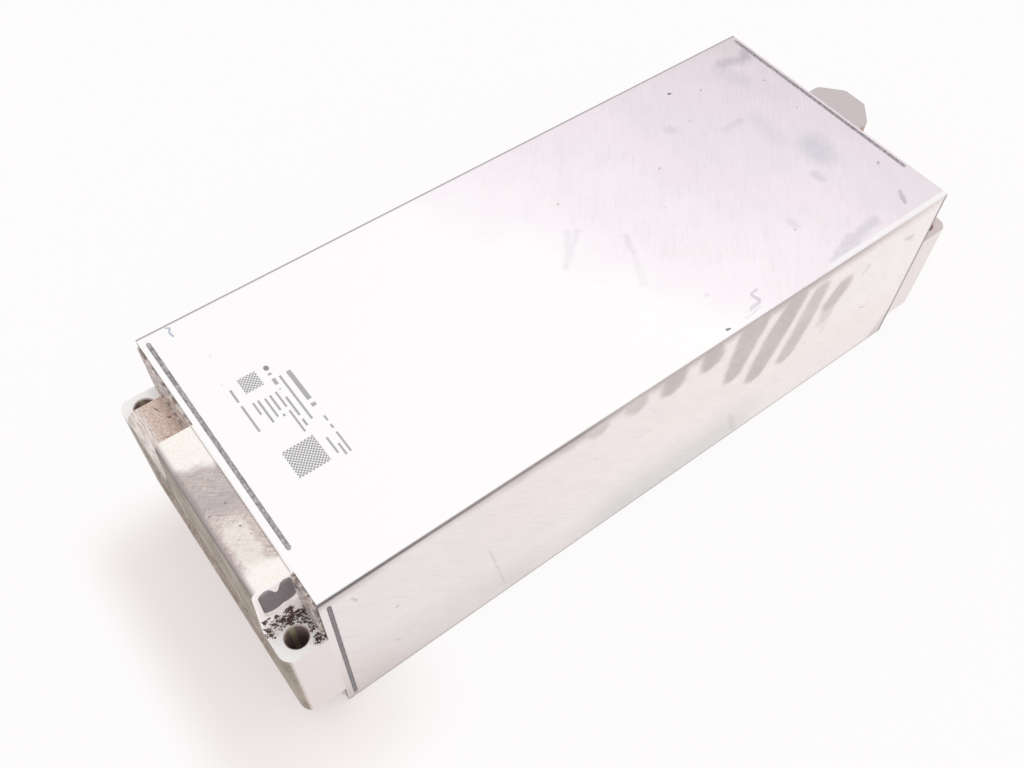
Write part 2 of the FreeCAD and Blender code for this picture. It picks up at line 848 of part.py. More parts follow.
def main():
    os.makedirs("parts", exist_ok=True)
    save("housing_sleeve", make_sleeve())
    save("front_end_casting", make_front_casting())
    save("rear_end_casting", make_rear_casting())
    for index in range(cell_count):
        save("pouch_cell_%02d" % (index + 1), make_cell(index))
    for group in range(group_count - 1):
        save("foam_pad_%d" % (group + 1), make_pad(group))
    save("side_pad_near", make_side_pad(-1))
    save("side_pad_far", make_side_pad(1))
    save("thermal_filler", make_filler())
    save("insulating_film", make_film())
    for number, cells in enumerate(busbar_cells(-1)):
        save("front_link_busbar_%d" % (number + 1), make_link_busbar(cells, -1))
    for number, cells in enumerate(busbar_cells(1)):
        save("rear_link_busbar_%d" % (number + 1), make_link_busbar(cells, 1))
    save("terminal_busbar_near", make_terminal_busbar(-1))
    save("terminal_busbar_far", make_terminal_busbar(1))
    save("terminal_block_near", make_terminal_block(-1))
    save("terminal_block_far", make_terminal_block(1))
    save("terminal_nuts", make_terminal_nuts())
    save("front_busbar_frame", make_busbar_frame(-1))
    save("rear_busbar_frame", make_busbar_frame(1))
    save("front_insulating_cover", make_cover(-1))
    save("rear_insulating_cover", make_cover(1))
    save("sensing_circuit", make_flex())
    save("temperature_sensors", make_sensors())
    save("signal_connector", make_connector())
    save("connector_pins", make_connector_pins())


main()
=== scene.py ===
# %% [markdown]
# A traction battery module, dressed for its picture.
# The solid parts come ready made from the CAD model: an extruded aluminium sleeve, a die-cast
# plate in each end, and the cells and plastics inside. They are loaded as a fixed frame, so this
# script only adds finishes, the weld beads and the crumbs of dirt, a camera, lights and a floor.
# X runs along the module, Y across it and Z up, all in metres.

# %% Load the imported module
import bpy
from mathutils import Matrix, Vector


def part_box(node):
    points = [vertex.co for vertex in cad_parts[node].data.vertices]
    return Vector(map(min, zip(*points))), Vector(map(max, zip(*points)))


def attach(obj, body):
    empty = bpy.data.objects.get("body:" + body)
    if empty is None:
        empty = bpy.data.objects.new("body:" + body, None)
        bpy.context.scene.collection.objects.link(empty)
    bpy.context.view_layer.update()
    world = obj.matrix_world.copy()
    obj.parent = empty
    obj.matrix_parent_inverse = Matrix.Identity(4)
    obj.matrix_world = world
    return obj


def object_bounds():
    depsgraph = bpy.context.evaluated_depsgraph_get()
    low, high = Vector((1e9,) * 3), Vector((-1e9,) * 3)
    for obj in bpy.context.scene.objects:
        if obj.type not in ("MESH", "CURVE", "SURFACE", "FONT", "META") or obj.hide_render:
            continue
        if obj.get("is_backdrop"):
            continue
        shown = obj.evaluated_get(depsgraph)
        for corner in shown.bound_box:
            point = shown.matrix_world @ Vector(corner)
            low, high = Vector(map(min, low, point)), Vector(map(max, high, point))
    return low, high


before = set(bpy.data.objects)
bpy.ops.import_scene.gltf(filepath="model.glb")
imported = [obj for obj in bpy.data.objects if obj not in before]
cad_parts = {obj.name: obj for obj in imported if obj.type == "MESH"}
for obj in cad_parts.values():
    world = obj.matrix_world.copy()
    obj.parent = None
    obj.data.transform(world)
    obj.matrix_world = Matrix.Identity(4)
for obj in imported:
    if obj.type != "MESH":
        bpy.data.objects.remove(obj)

cad_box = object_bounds()
print("pieces loaded:", len(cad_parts))

# %% [markdown]
# Everything that follows is placed from the real module's own edges. The frame gives the box of
# each piece, so the top face, the ends of the sleeve and the walls of the castings are measured
# once here, in millimetres, because that is how a workshop talks about them.

# %% Measure the pieces that show
import bpy
import math
import numpy as np
from mathutils import Matrix

MM = 0.001


def limits_mm(piece):
    """Lowest and highest corner of one CAD piece, in millimetres."""
    low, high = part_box(piece)
    return np.array(low) / MM, np.array(high) / MM


sleeve_low, sleeve_high = limits_mm("housing_sleeve")
sleeve_end = sleeve_high[0]
half_width = sleeve_high[1]
top = sleeve_high[2]
ear_top = top - 34.0
front_face = limits_mm("front_end_casting")[0][0]
wall_face = -sleeve_end - 1.0
hole_x = -sleeve_end - 9.3
hole_y = -half_width + 8.2
block_wall = -half_width + 16.0
block_far = block_wall + 80.5
print("sleeve", sleeve_high - sleeve_low, "mm; front face at", round(front_face, 1))

# %% [markdown]
# The camera stands half a metre up, over the front end, and looks down along the module. A real
# picture fixes such a place, because the corners of a plain box show how far away and how wide
# the view was. The lens is in millimetres on a 36 mm wide sensor, and the turn is built from the
# direction of view and the direction that lies level in the picture.

# %% Camera
camera_place = (-0.2133, -0.2303, 0.4626)
looking_along = np.array((0.35453, 0.44422, -0.82279))
picture_right = np.array((0.79790, -0.60251, 0.01852))


def camera_matrix(place, along, right):
    """Columns of the camera's pose: right, up and backwards, each one unit long, then its place."""
    back = -along / np.linalg.norm(along)
    up = np.cross(back, right)
    up = up / np.linalg.norm(up)
    pose = np.eye(4)
    pose[:3] = np.stack([np.cross(up, back), up, back, place], axis=1)
    return Matrix(pose.tolist())


def put_in_scene(name, data):
    """A new object in the scene, from its data."""
    made = bpy.data.objects.new(name, data)
    bpy.context.scene.collection.objects.link(made)
    return made


camera_data = bpy.data.cameras.new("picture_camera")
camera_data.sensor_width = 36.0
camera_data.lens = 36.39
camera = put_in_scene("picture_camera", camera_data)
camera.matrix_world = camera_matrix(camera_place, looking_along, picture_right)
bpy.context.scene.camera = camera
print("camera", [round(value, 3) for value in camera.location], "lens", camera_data.lens)

# %% [markdown]
# Shader graphs are easier to read when each node is one line. One helper adds a node, sets its
# options and either links or fills its inputs. Another turns a paint chip's hex colour, which is
# written for screens, into the linear light values that Cycles works with. A link knows the graph
# it belongs to, so the helpers that start from one need not be told.

# %% Helpers for colours and shader nodes


def linear(hex_colour):
    """A hex screen colour as linear red, green, blue and alpha."""
    screen = np.array([int(hex_colour[i:i + 2], 16) for i in (1, 3, 5)]) / 255
    light = np.where(screen <= 0.04045, screen / 12.92, ((screen + 0.055) / 1.055) ** 2.4)
    return (float(light[0]), float(light[1]), float(light[2]), 1.0)


def fill(node, inputs):
    """Links or fills the sockets of a node, which are given by name or number."""
    for key, value in inputs.items():
        if isinstance(value, bpy.types.NodeSocket):
            node.id_data.links.new(value, node.inputs[key])
        else:
            node.inputs[key].default_value = value


def add(tree, kind, inputs=None, **settings):
    """Adds one shader node. Settings are its options, inputs its sockets."""
    made = tree.nodes.new("ShaderNode" + kind)
    for name, value in settings.items():
        setattr(made, name, value)
    fill(made, inputs or {})
    return made


def calc(operation, *values):
    """One sum on links and plain numbers, in the graph that its first link belongs to."""
    tree = next(value.id_data for value in values if isinstance(value, bpy.types.NodeSocket))
    return add(tree, "Math", dict(enumerate(values)), operation=operation).outputs[0]


def parts(vector):
    """The X, Y and Z parts of a vector."""
    return add(vector.id_data, "SeparateXYZ", {0: vector}).outputs


def bumps(height, strength, distance):
    """A bent surface direction, as if the height were real. The distance is in metres."""
    inputs = {"Height": height, "Strength": strength, "Distance": distance}
    return add(height.id_data, "Bump", inputs).outputs[0]


def new_finish(name):
    """An empty material: its graph, its Principled shader and the point in millimetres."""
    finish = bpy.data.materials.new(name)
    finish.use_nodes = True
    tree = finish.node_tree
    shader = tree.nodes["Principled BSDF"]
    place = add(tree, "TexCoord").outputs["Object"]
    scaled = add(tree, "VectorMath", {0: place, 3: 1.0 / MM}, operation="SCALE")
    return finish, tree, shader, scaled.outputs[0]


# %% [markdown]
# The picture is high key: a white sweep with daylight from everywhere, and one big soft window
# beyond the far end that leaves a weak shadow in front of the module. The world gives the even
# light and stays below a strength of one, so that bare metal keeps its tone instead of burning
# out. Only rays from the camera see the pure white backdrop.

# %% Even light from the world, and a soft window over the far end
world = bpy.data.worlds.new("white_room")
bpy.context.scene.world = world
world.use_nodes = True
world_tree = world.node_tree
room_light = world_tree.nodes["Background"]
fill(room_light, {"Color": linear("#FFFDFD"), "Strength": 0.975})
seen_white = add(world_tree, "Background", {"Color": linear("#FDFDFD")})
from_camera = add(world_tree, "LightPath").outputs["Is Camera Ray"]
room = add(world_tree, "MixShader", {
    0: from_camera, 1: room_light.outputs[0], 2: seen_white.outputs[0]})
fill(world_tree.nodes["World Output"], {"Surface": room.outputs[0]})

lamp = bpy.data.lights.new("soft_window", "AREA")
lamp.shape = "RECTANGLE"
lamp.size = 1.6
lamp.size_y = 1.2
lamp.energy = 0.3
lamp.color = linear("#FFFCF9")[:3]
window = put_in_scene("soft_window", lamp)
window.location = (1.0, 0.35, 1.2)
window.rotation_euler = (math.radians(-16), math.radians(39), 0.0)
print("window", lamp.energy, "W")

# %% [markdown]
# A mask is a number from 0 to 1 at each point of a surface. Most finishes here are a few masks
# joined together: a soft step says where a zone begins, a noise breaks it up, and a blend lays a
# colour over another by it. Small functions with plain names keep those joins short.

# %% Helpers that make and join masks


def strongest(masks):
    """The largest of several masks at each point, compared one by one as they are made."""
    total = 0.0
    for mask in masks:
        total = calc("MAXIMUM", total, mask)
    return total


def times(total, *masks):
    """Masks and strengths multiplied together."""
    for mask in masks:
        total = calc("MULTIPLY", total, mask)
    return total


def plus(value, factor, offset):
    """A value times a factor, plus an offset that may be another value."""
    return calc("MULTIPLY_ADD", value, factor, offset)


def ramp(value, start, end):
    """A smooth step: 0 at start and 1 at end, which may be the smaller of the two."""
    low, high, first, last = (start, end, 0.0, 1.0) if start < end else (end, start, 1.0, 0.0)
    return add(value.id_data, "MapRange", {0: value, 1: low, 2: high, 3: first, 4: last},
               interpolation_type="SMOOTHSTEP").outputs[0]


def band(value, low, high, soft):
    """1 between two values and 0 outside them, over a soft edge."""
    return times(ramp(value, low - soft, low + soft), ramp(value, high + soft, high - soft))


def noise(point, scale, detail=4.0, roughness=0.6):
    """Cloudy noise from 0 to 1, its scale counted in waves per millimetre."""
    inputs = {"Vector": point, "Scale": scale, "Detail": detail, "Roughness": roughness}
    return add(point.id_data, "TexNoise", inputs).outputs["Fac"]


def shake(point, scale, amount):
    """Points moved about by a noise, so that a mark gets a ragged edge."""
    tree = point.id_data
    inputs = {"Vector": point, "Scale": scale, "Detail": 4.0, "Roughness": 0.65}
    made = add(tree, "TexNoise", inputs).outputs["Color"]
    inputs = {0: made, 1: (0.5, 0.5, 0.5)}
    centred = add(tree, "VectorMath", inputs, operation="SUBTRACT").outputs[0]
    inputs = {0: centred, 1: (amount, amount, amount), 2: point}
    return add(tree, "VectorMath", inputs, operation="MULTIPLY_ADD").outputs[0]


def drawn_along(point, turn, length, width):
    """Points squeezed so that a noise on them is drawn out along a direction turned about Z."""
    inputs = {"Vector": point, "Rotation": (0.0, 0.0, turn), "Scale": (length, width, 1.0)}
    return add(point.id_data, "Mapping", inputs, vector_type="TEXTURE").outputs[0]


def blend(share, under, over):
    """One colour laid over another by a mask. A colour is a link or a hex code."""
    under = linear(under) if isinstance(under, str) else under
    over = linear(over) if isinstance(over, str) else over
    return add(share.id_data, "Mix", {0: share, 6: under, 7: over}, data_type="RGBA").outputs[2]


def shades(value, stops):
    """A colour that runs through hex colours while a value grows past the marks they stand at."""
    low, high = stops[0][0], stops[-1][0]
    share = add(value.id_data, "MapRange", {0: value, 1: low, 2: high}).outputs[0]
    made = add(value.id_data, "ValToRGB", {0: share})
    line = made.color_ramp.elements
    line[0].color, line[1].color = linear(stops[0][1]), linear(stops[-1][1])
    for mark, colour in stops[1:-1]:
        line.new((mark - low) / (high - low)).color = linear(colour)
    return made.outputs["Color"]


# %% [markdown]
# The floor is a seamless white sheet: a plain square, far larger than the view, with a matt
# paint that takes the module's shadow. For camera, mirror and glass rays a share of its paint is
# swapped for plain white, which thins the shadow without putting more light on the metal. The
# share is smaller in a patch in front of the module, so the soft shadow there stays.

# %% Floor
floor_mesh = bpy.data.meshes.new("white_floor")
floor_reach = 6.0
square = ((-1, -1), (1, -1), (1, 1), (-1, 1))
floor_corners = [(floor_reach * x, floor_reach * y, 0) for x, y in square]
floor_mesh.from_pydata(floor_corners, [], [(0, 1, 2, 3)])
floor = put_in_scene("white_floor", floor_mesh)
floor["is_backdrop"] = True

white_most = 0.92
white_lost_in_shadow = 0.58
paper, tree, shader, mm = new_finish("white_paper_sheet")
tint = blend(noise(mm, 0.02, 4, 0.5), "#FBF2F1", "#FCF5F4")
fill(shader, {"Roughness": 0.9, "Specular IOR Level": 0.1, "Base Color": tint})
plain_white = add(tree, "Emission", {"Color": linear("#FEFDFD")})
rays = add(tree, "LightPath").outputs
seen = calc("MAXIMUM", rays["Is Camera Ray"], rays["Is Glossy Ray"])
seen = calc("MAXIMUM", seen, rays["Is Transmission Ray"])
at_x, at_y = parts(mm)[:2]
in_shadow = times(seen, ramp(at_x, -120, -195), ramp(at_x, -252, -222),
                  ramp(at_y, 85, 40), ramp(at_y, -125, -85))
white_share = plus(in_shadow, -white_lost_in_shadow, times(seen, white_most))
sheet = add(tree, "MixShader", {0: white_share, 1: shader.outputs[0], 2: plain_white.outputs[0]})
fill(tree.nodes["Material Output"], {"Surface": sheet.outputs[0]})
floor_mesh.materials.append(paper)
print("floor", 2 * floor_reach, "m wide")

# %% [markdown]
# Marks on metal are patches with soft edges. A rub left by a glove is a capsule: every point
# closer to a line than some width, and the width may change from one end to the other. The
# distance to a line comes from two dot products, so one small node group draws any such mark
# from its two ends, its two widths, how soft its edge is and how strong it shows.

# %% A node group that draws one rub mark


def build_rub_group():
    """How far a point is inside a tapered capsule: its strength on the line, 0 past its width."""
    group = bpy.data.node_groups.new("rub_mark", "ShaderNodeTree")
    sockets = group.interface
    for name in ("Point", "Start", "End"):
        sockets.new_socket(name, in_out="INPUT", socket_type="NodeSocketVector")
    for name in ("Start Width", "End Width", "Softness", "Strength"):
        sockets.new_socket(name, in_out="INPUT", socket_type="NodeSocketFloat")
    sockets.new_socket("Mask", in_out="OUTPUT", socket_type="NodeSocketFloat")
    given = group.nodes.new("NodeGroupInput").outputs
    result = group.nodes.new("NodeGroupOutput")

    def vectors(operation, inputs, output=0):
        return add(group, "VectorMath", inputs, operation=operation).outputs[output]

    along = vectors("SUBTRACT", {0: given["End"], 1: given["Start"]})
    offset = vectors("SUBTRACT", {0: given["Point"], 1: given["Start"]})
    reach = vectors("DOT_PRODUCT", {0: offset, 1: along}, "Value")
    size = vectors("DOT_PRODUCT", {0: along, 1: along}, "Value")
    share = calc("MINIMUM", calc("MAXIMUM", calc("DIVIDE", reach, size), 0.0), 1.0)
    foot = vectors("SCALE", {0: along, 3: share})
    away = vectors("DISTANCE", {0: offset, 1: foot}, "Value")
    inputs = {0: share, 3: given["Start Width"], 4: given["End Width"]}
    width = add(group, "MapRange", inputs, clamp=False).outputs[0]
    inner = calc("SUBTRACT", width, given["Softness"])
    mask = add(group, "MapRange", {0: away, 1: inner, 2: width, 3: 1.0, 4: 0.0},
               interpolation_type="SMOOTHSTEP")
    fill(result, {"Mask": times(mask.outputs[0], given["Strength"])})
    return group


rub_group = build_rub_group()


def rub(point, start, end, widths, softness, strength=1.0):
    """One rub mark in a material, from its two ends and two half widths in millimetres."""
    inputs = {"Point": point, "Start": start, "End": end, "Start Width": widths[0],
              "End Width": widths[1], "Softness": softness, "Strength": strength}
    return add(point.id_data, "Group", inputs, node_tree=rub_group).outputs["Mask"]


def rubs(point, place, table, fading, softness=0.0):
    """The strongest of many rubs. A row gives two ends, two half widths and a strength, and place
    turns an end into a point. Each fades over a softness and a share of its narrower width."""
    return strongest(
        rub(point, place(*ends[:2]), place(*ends[2:]), (first, second),
            softness + fading * min(first, second), strength)
        for *ends, first, second, strength in table)


print("rub mark group:", len(rub_group.nodes), "nodes")

# %% [markdown]
# The sleeve is extruded aluminium in mill finish: pushed through a die, not polished and not
# painted. It looks like satin, white where the room lights it, with a pink-grey cast that deepens
# towards the far end. The side walls are a shade greyer, and the grey that grows low down and
# towards the front is painted shade. Two rulers place these shades: one runs slantwise over the
# top, the other up and along the walls, and a slow noise bends both. A broad patch of painted
# shade low on the near wall is a cooler grey. Top and walls get a shader each, so that Cycles
# skips the marks of the one it doesn't see.

# %% Sleeve: tint and cloud
sleeve_finish, tree, top_shader, mm = new_finish("mill_finish_extruded_aluminium")
at_x, at_y, at_z = parts(mm)
facing_x, facing_y = parts(add(tree, "NewGeometry").outputs["True Normal"])[:2]
edge_radius = 0.8
corner_sum = top - edge_radius - half_width
round_near = plus(at_z, 1, plus(at_y, 1, -corner_sum))
round_far = plus(at_z, 1, plus(at_y, -1, -corner_sum))
inside = calc("MINIMUM", round_near, round_far)
on_top = times(ramp(inside, 0.3, 1), ramp(at_z, top - 1, top - 0.6))
on_near = times(ramp(facing_y, -0.7, -0.95), ramp(on_top, 1, 0))

cloud = noise(mm, 0.022, 4)
diagonal = plus(cloud, 70, plus(at_y, 0.54, at_x))
top_tint = shades(diagonal, [
    (28, "#FFFFFF"), (40, "#FEFCFE"), (53, "#FDF9FD"), (71, "#FCF6FA"), (91, "#FAF4F9"),
    (111, "#F6EFF4"), (131, "#F4ECF2"), (151, "#F0E9EF"), (173, "#EDE6EB"), (199, "#EAE1E7"),
    (221, "#E7DEE4"), (239, "#DFD8DC")])
# Painted shade: the walls grow greyer low down and towards the front.
wall_shade_slope = plus(calc("MINIMUM", at_z, 60), 4, plus(cloud, 60, at_x))
wall_tint = shades(wall_shade_slope, [
    (-114, "#DED7D5"), (-66, "#E8E2E0"), (-18, "#EFE9E7"), (90, "#F9F4F3"), (210, "#FCF5F4"),
    (280, "#FDF5F3"), (400, "#FFF9F7")])
# Painted shade: a broad, soft, cool grey patch low on the near wall.
foot_shade_patch = rub(mm, (-15, -half_width, 4), (50, -half_width, 8), (46, 40), 44, 0.45)
wall_tint = blend(foot_shade_patch, wall_tint, "#CCD0CE")
tinted = ramp(diagonal, 35, 80)
print("sleeve tints ready")

# %% [markdown]
# Gloved hands lifted the module near its far end. On the near wall they left grey-brown tracks
# that hang from the top edge, broad above and rounded below, with clean metal between them. A
# darker strip runs along the edge itself, partly grime and partly painted shade where the wall
# turns into the rounded edge. The points are first shaken by a fine noise, so that no mark has a
# drawn edge. A second table holds the small marks of the wall: a thin upright scratch, a few
# short nicks and some broad weak smudges.

# %% Sleeve: finger tracks
finger_tracks = [
    # upper x, z, lower x, z, upper and lower half width, strength
    (-44, 105, -42, 100.5, 10.5, 8, 0.6),
    (-22, 103, -20.5, 98.5, 9.5, 7.8, 0.7),
    (0, 105, 0.5, 97, 10.5, 9.6, 0.95),
    (22, 105, 23.5, 96, 9, 9.6, 0.95),
    (48.5, 103, 43, 69, 12.6, 8.8, 0.9),
    (75.5, 101, 69, 82, 9.6, 11.4, 0.92),
    (69, 82, 61.8, 55, 11.4, 9.8, 0.9),
    (92.4, 94, 88.8, 72, 8.6, 9.4, 0.72),
    (88.8, 72, 83.5, 52, 9.2, 8.6, 0.8),
    (112, 84.5, 107.5, 76, 8.8, 9.4, 0.8),
    (107.5, 72, 106.5, 63, 8, 7, 0.45),
    (109, 58, 110, 51, 4.6, 4, 0.25),
]
ragged = shake(mm, 0.22, 4)
tracks = rubs(ragged, lambda x, z: (x, -half_width, z), finger_tracks, 0.0, softness=5.0)
tracks = times(tracks, plus(noise(mm, 0.1, 3), 0.5, 0.72))
# The strip along the top edge is partly grime and partly painted shade where the wall turns into
# the rounded edge.
edge_grime_and_shade = times(ramp(plus(cloud, 12, at_z), 104, 113.5), ramp(at_x, 200, 90))
tracks_and_edge_shade = times(strongest([tracks, edge_grime_and_shade]), on_near)
wall_tint = blend(tracks_and_edge_shade, wall_tint, "#D0C9C6")
wall_marks = [
    # x, z, second x, z, first and second half width, strength
    (-98.5, 57, -89.5, 11, 0.7, 0.7, 0.25),
    (-145.3, 63, -144.8, 61.8, 1, 0.9, 0.45),
    (-148.5, 30, -146, 27.5, 0.9, 0.8, 0.35),
    (-163, 95, -161, 91, 0.9, 0.9, 0.35),
    (139.8, 48, 142.6, 45.8, 1.1, 0.9, 0.35),
    (142.8, 45.6, 145.4, 48.2, 0.9, 0.9, 0.28),
    (155, 90, 160, 88, 2.2, 2.4, 0.28),
    (129, 87, 127, 84, 2.4, 2, 0.2),
    (60, 6, 52.5, 25, 3.4, 2.2, 0.14),
    (173, 3, 176, 16, 11, 8, 0.3),
]
marks = rubs(ragged, lambda x, z: (x, -half_width, z), wall_marks, 0.8)
wall_tint = blend(times(marks, on_near), wall_tint, "#94888A")
print(len(finger_tracks), "finger tracks,", len(wall_marks), "marks")

# %% [markdown]
# The top carries smears of its own. Grey-violet ones are rubbed oxide, pale blue ones are dried
# cleaner. Each row of the tables is one capsule with a strength, and the strongest wins where two
# meet. Their edges are soft all the way in, and a noise thins them here and there. Round dark
# specks are the same capsule made very short.

# %% Sleeve: smears on the top
grey_smears = [
    # first x, y, second x, y, first and second half width, strength
    (155, 60.5, 164, 57.5, 6, 5.4, 0.4),
    (167.5, 57, 172, 60, 4.8, 5.2, 0.5),
    (119.5, 22, 130, 22, 2.8, 3.4, 0.17),
    (133.5, -27.5, 133.8, -31.5, 4.2, 3.8, 0.22),
    (158.2, -60, 154.8, -66.2, 1.9, 1.9, 0.55),
    (101, -42, 100.8, -46, 3.4, 3, 0.2),
    (96.8, 38, 98.4, 37, 5.4, 4.8, 0.14),
    (11.8, 14, 4, 5, 2.8, 2.4, 0.13),
    (16, 12.2, -2.5, -2, 2.6, 2.8, 0.14),
    (32.2, -4, 28, -14, 2.8, 2.2, 0.15),
    (28, -14, 20, -30, 2.2, 3, 0.08),
    (58.2, -62.2, 54.2, -63.8, 1.1, 1.1, 0.45),
    (54.2, -63.8, 55.2, -68.2, 1.1, 1.3, 0.4),
    (55.2, -68.4, 48, -69.4, 1.3, 1.1, 0.32),
    (53, -70.8, 43.5, -71.6, 0.9, 0.9, 0.26),
    (38.4, -52, 37.6, -52.2, 1.6, 1.4, 0.16),
]
blue_smears = [
    (112, -68, 134, -65.5, 4.2, 4.4, 0.62),
    (98, -71, 116, -67.5, 1.8, 4.8, 0.48),
    (148, -12, 146, -20, 13, 12, 0.75),
    (150, -10.4, 147.5, -11.6, 3.4, 3.2, 0.9),
    (144.8, -18.8, 153, -18.6, 3.6, 3.2, 0.85),
    (139, 18, 136.5, 0, 8.5, 8, 0.3),
    (151, 56, 153.5, 44, 9, 8, 0.5),
    (170, 56, 164, 53, 4.4, 3.8, 0.55),
]
dark_specks = [
    # x, y, second x, y, half width, strength
    (115.2, 58.8, 115.8, 58.6, 1.1, 0.8), (74.4, 20.3, 74.8, 20.9, 0.7, 0.4),
    (130.5, 51, 131.2, 51.4, 0.8, 0.35), (109.8, 37, 110.2, 36.6, 0.7, 0.28),
    (19.3, 30.8, 19.7, 30.8, 0.8, 0.4), (163.2, 37.4, 164, 37.2, 0.7, 0.4),
    (32, -71.3, 33.4, -71.6, 0.8, 0.8), (165.4, -39.6, 164.2, -40.6, 0.8, 0.45),
    (99.2, -47.2, 98.6, -47.9, 0.6, 0.35), (161.6, 12.2, 162.4, 12.8, 0.7, 0.25),
    (-154.5, 48, -154.1, 48.1, 0.5, 0.3), (-157.7, 31.8, -157.4, 31.9, 0.5, 0.3),
]
thinned = plus(noise(mm, 0.15, 3, 0.7), 1, 0.5)
grey_mask, blue_mask = (
    times(thinned, rubs(ragged, lambda x, y: (x, y, top), smears, 0.9))
    for smears in (grey_smears, blue_smears))
top_tint = blend(blue_mask, top_tint, "#D4D3DB")
top_tint = blend(grey_mask, top_tint, "#AEA8B1")
wobble = shake(mm, 0.9, 0.8)
specks = strongest(
    rub(wobble, (x1, y1, top), (x2, y2, top), (half, half * 0.8), 0.45, strength)
    for x1, y1, x2, y2, half, strength in dark_specks)
top_tint = blend(specks, top_tint, "#3E3A3E")
print(len(grey_smears) + len(blue_smears), "smears,", len(dark_specks), "specks")

# %% [markdown]
# The long edges were drawn over a die corner, so they are rounded. Along the near one a dark line
# is painted at the front, a painted dark reflection that fades to grey along the module, and
# towards the far end a bright strip on the top is a painted highlight. Y plus Z grows steadily
# round that edge, so their sum tells how far round the bend a point is: 0 where the side wall ends
# and twice the radius where the top begins. The far edge has a painted grey line of shade. The
# foot of the wall, which stands on the floor, has a dark line of painted shade of its own, and so
# has the wall's upright edge at the far end. The sleeve's front end was sawn, so its cut face is a
# dull brown-grey.

# %% Sleeve: edge lines
# Painted reflection: a dark line on the near rounded edge, strongest at the front.
front_part = plus(ramp(at_x, -70, -170), 0.36, 0.1)
line_strength = plus(ramp(at_x, -25, -60), 0.5, front_part)
near_edge_painted_reflection = times(band(round_near, -2.3, 0.2, 0.9), line_strength)
wall_tint = blend(near_edge_painted_reflection, wall_tint, "#6A656B")
# Painted highlight: a bright strip where the near edge meets the top, towards the far end.
painted_edge_highlight = times(band(round_near, 0.9, 3.6, 0.4), ramp(at_x, 84, 100))
top_tint = blend(times(painted_edge_highlight, 0.92), top_tint, "#FBFAFB")
# Painted shade: a grey line along the far rounded edge, on top and wall.
far_edge_painted_shade = times(band(round_far, -0.9, 2.1, 0.5), 0.95)
edge_shade_grey = "#A9A3A8"
top_tint = blend(far_edge_painted_shade, top_tint, edge_shade_grey)
wall_tint = blend(far_edge_painted_shade, wall_tint, edge_shade_grey)
cut_end = times(ramp(facing_x, -0.5, -0.9), ramp(at_x, -sleeve_end + 1, -sleeve_end + 0.3))
cut_grain = ramp(noise(mm, 1.1, 3, 0.7), 0.4, 0.62)
wall_tint = blend(cut_end, wall_tint, blend(cut_grain, "#B5ABA6", "#4E4340"))
# Painted shade: a dark line at the foot of the near wall, where it meets the floor.
foot_painted_shade = times(ramp(at_z, 2.9, 0.9), on_near, plus(cloud, 0.4, 0.45))
wall_tint = blend(foot_painted_shade, wall_tint, "#9A9394")
# Painted shade: a dark line up the near wall's edge at the far end.
end_edge_painted_shade = times(ramp(at_x, sleeve_end - 2.2, sleeve_end - 1.2), on_near, 0.8)
wall_tint = blend(end_edge_painted_shade, wall_tint, "#807A7E")
print("edge lines ready")

# %% [markdown]
# Wiping left fine lines that run slantwise over top and wall. Both faces take them from one noise,
# which reads X and the difference of Y and Z, and show them more where the metal has a tint. The
# pits are the middles of random cells, and only a cell whose own random number is high has one.

# %% Sleeve: pits and drawn hairlines
wiping_turn = 0.85


def cell_pits(point, scale, outside, inside):
    """Round pits in about a quarter of the random cells of a pattern."""
    found = add(point.id_data, "TexVoronoi", {"Vector": point, "Scale": scale})
    rare = add(point.id_data, "SeparateColor", {0: found.outputs["Color"]}).outputs[0]
    return times(ramp(found.outputs["Distance"], outside, inside), ramp(rare, 0.72, 0.8))


over_edge = add(tree, "CombineXYZ", {0: at_x, 1: plus(at_z, -1, at_y)}).outputs[0]
hairline = noise(drawn_along(over_edge, wiping_turn, 16, 1.3), 1, 3, 0.7)
light_hair = ramp(hairline, 0.56, 0.74)
dark_hair = ramp(hairline, 0.46, 0.28)
wiped = ramp(noise(drawn_along(over_edge, wiping_turn, 26, 8), 1, 4, 0.75), 0.42, 0.7)
grain = noise(mm, 1.4, 3, 0.7)
coarse_grain = ramp(grain, 0.35, 0.75)


def wear(tint, share):
    """Hairlines, wiped streaks and grain over a colour, where a share lets them show."""
    tint = blend(times(wiped, share, 0.1), tint, "#D3CCD0")
    tint = blend(times(light_hair, share, 0.3), tint, "#FFFDFE")
    tint = blend(times(dark_hair, share, 0.14), tint, "#B8AFB4")
    return blend(times(coarse_grain, share, 0.1), tint, "#BDB5BA")


top_tint = wear(top_tint, tinted)
wall_tint = wear(wall_tint, 1.0)
pit = times(cell_pits(mm, 0.1, 0.05, 0.02), tinted, 0.35)
top_tint = blend(pit, top_tint, "#6A666C")
print("pits and hairlines ready")

# %% [markdown]
# The top has a printed patch near the front. Here it carries only plain marks: short bars, two
# chequered squares and a dot, with no letter or sign. Each row is a thin box in X and Y, and a
# coarse grid of random cells leaves gaps in it. A dash of blue pen shows where somebody ticked
# the module off.

# %% Sleeve: plain printed marks
print_rows = [
    # x of the row, lowest and highest y, half height
    (-156.1, 2.6, 27.4, 0.5),
    (-151.6, 9.3, 16.3, 0.45),
    (-149.4, 3.2, 16.2, 0.5),
    (-146.6, 4.5, 15.4, 0.45),
    (-144.2, 3.1, 15.9, 0.5),
    (-141.4, -8.1, 15.8, 0.45),
    (-139.2, -6.1, 16.1, 0.5),
    (-138.9, 18.6, 25.6, 0.8),
    (-136, -26.4, -14.7, 0.45),
    (-136, -4.4, 21.9, 0.5),
    (-133.6, -27, -20.6, 0.45),
    (-131.9, 0.3, 22.1, 1.05),
    (-131.4, -27.1, -6, 0.45),
]
square_places = [(-147.5, 26, 4.2), (-147, -18.4, 7.2)]


def box_mask(x, y, half_x, half_y):
    """1 inside an upright box on the top face and 0 outside it."""
    return times(calc("COMPARE", at_x, x, half_x), calc("COMPARE", at_y, y, half_y))


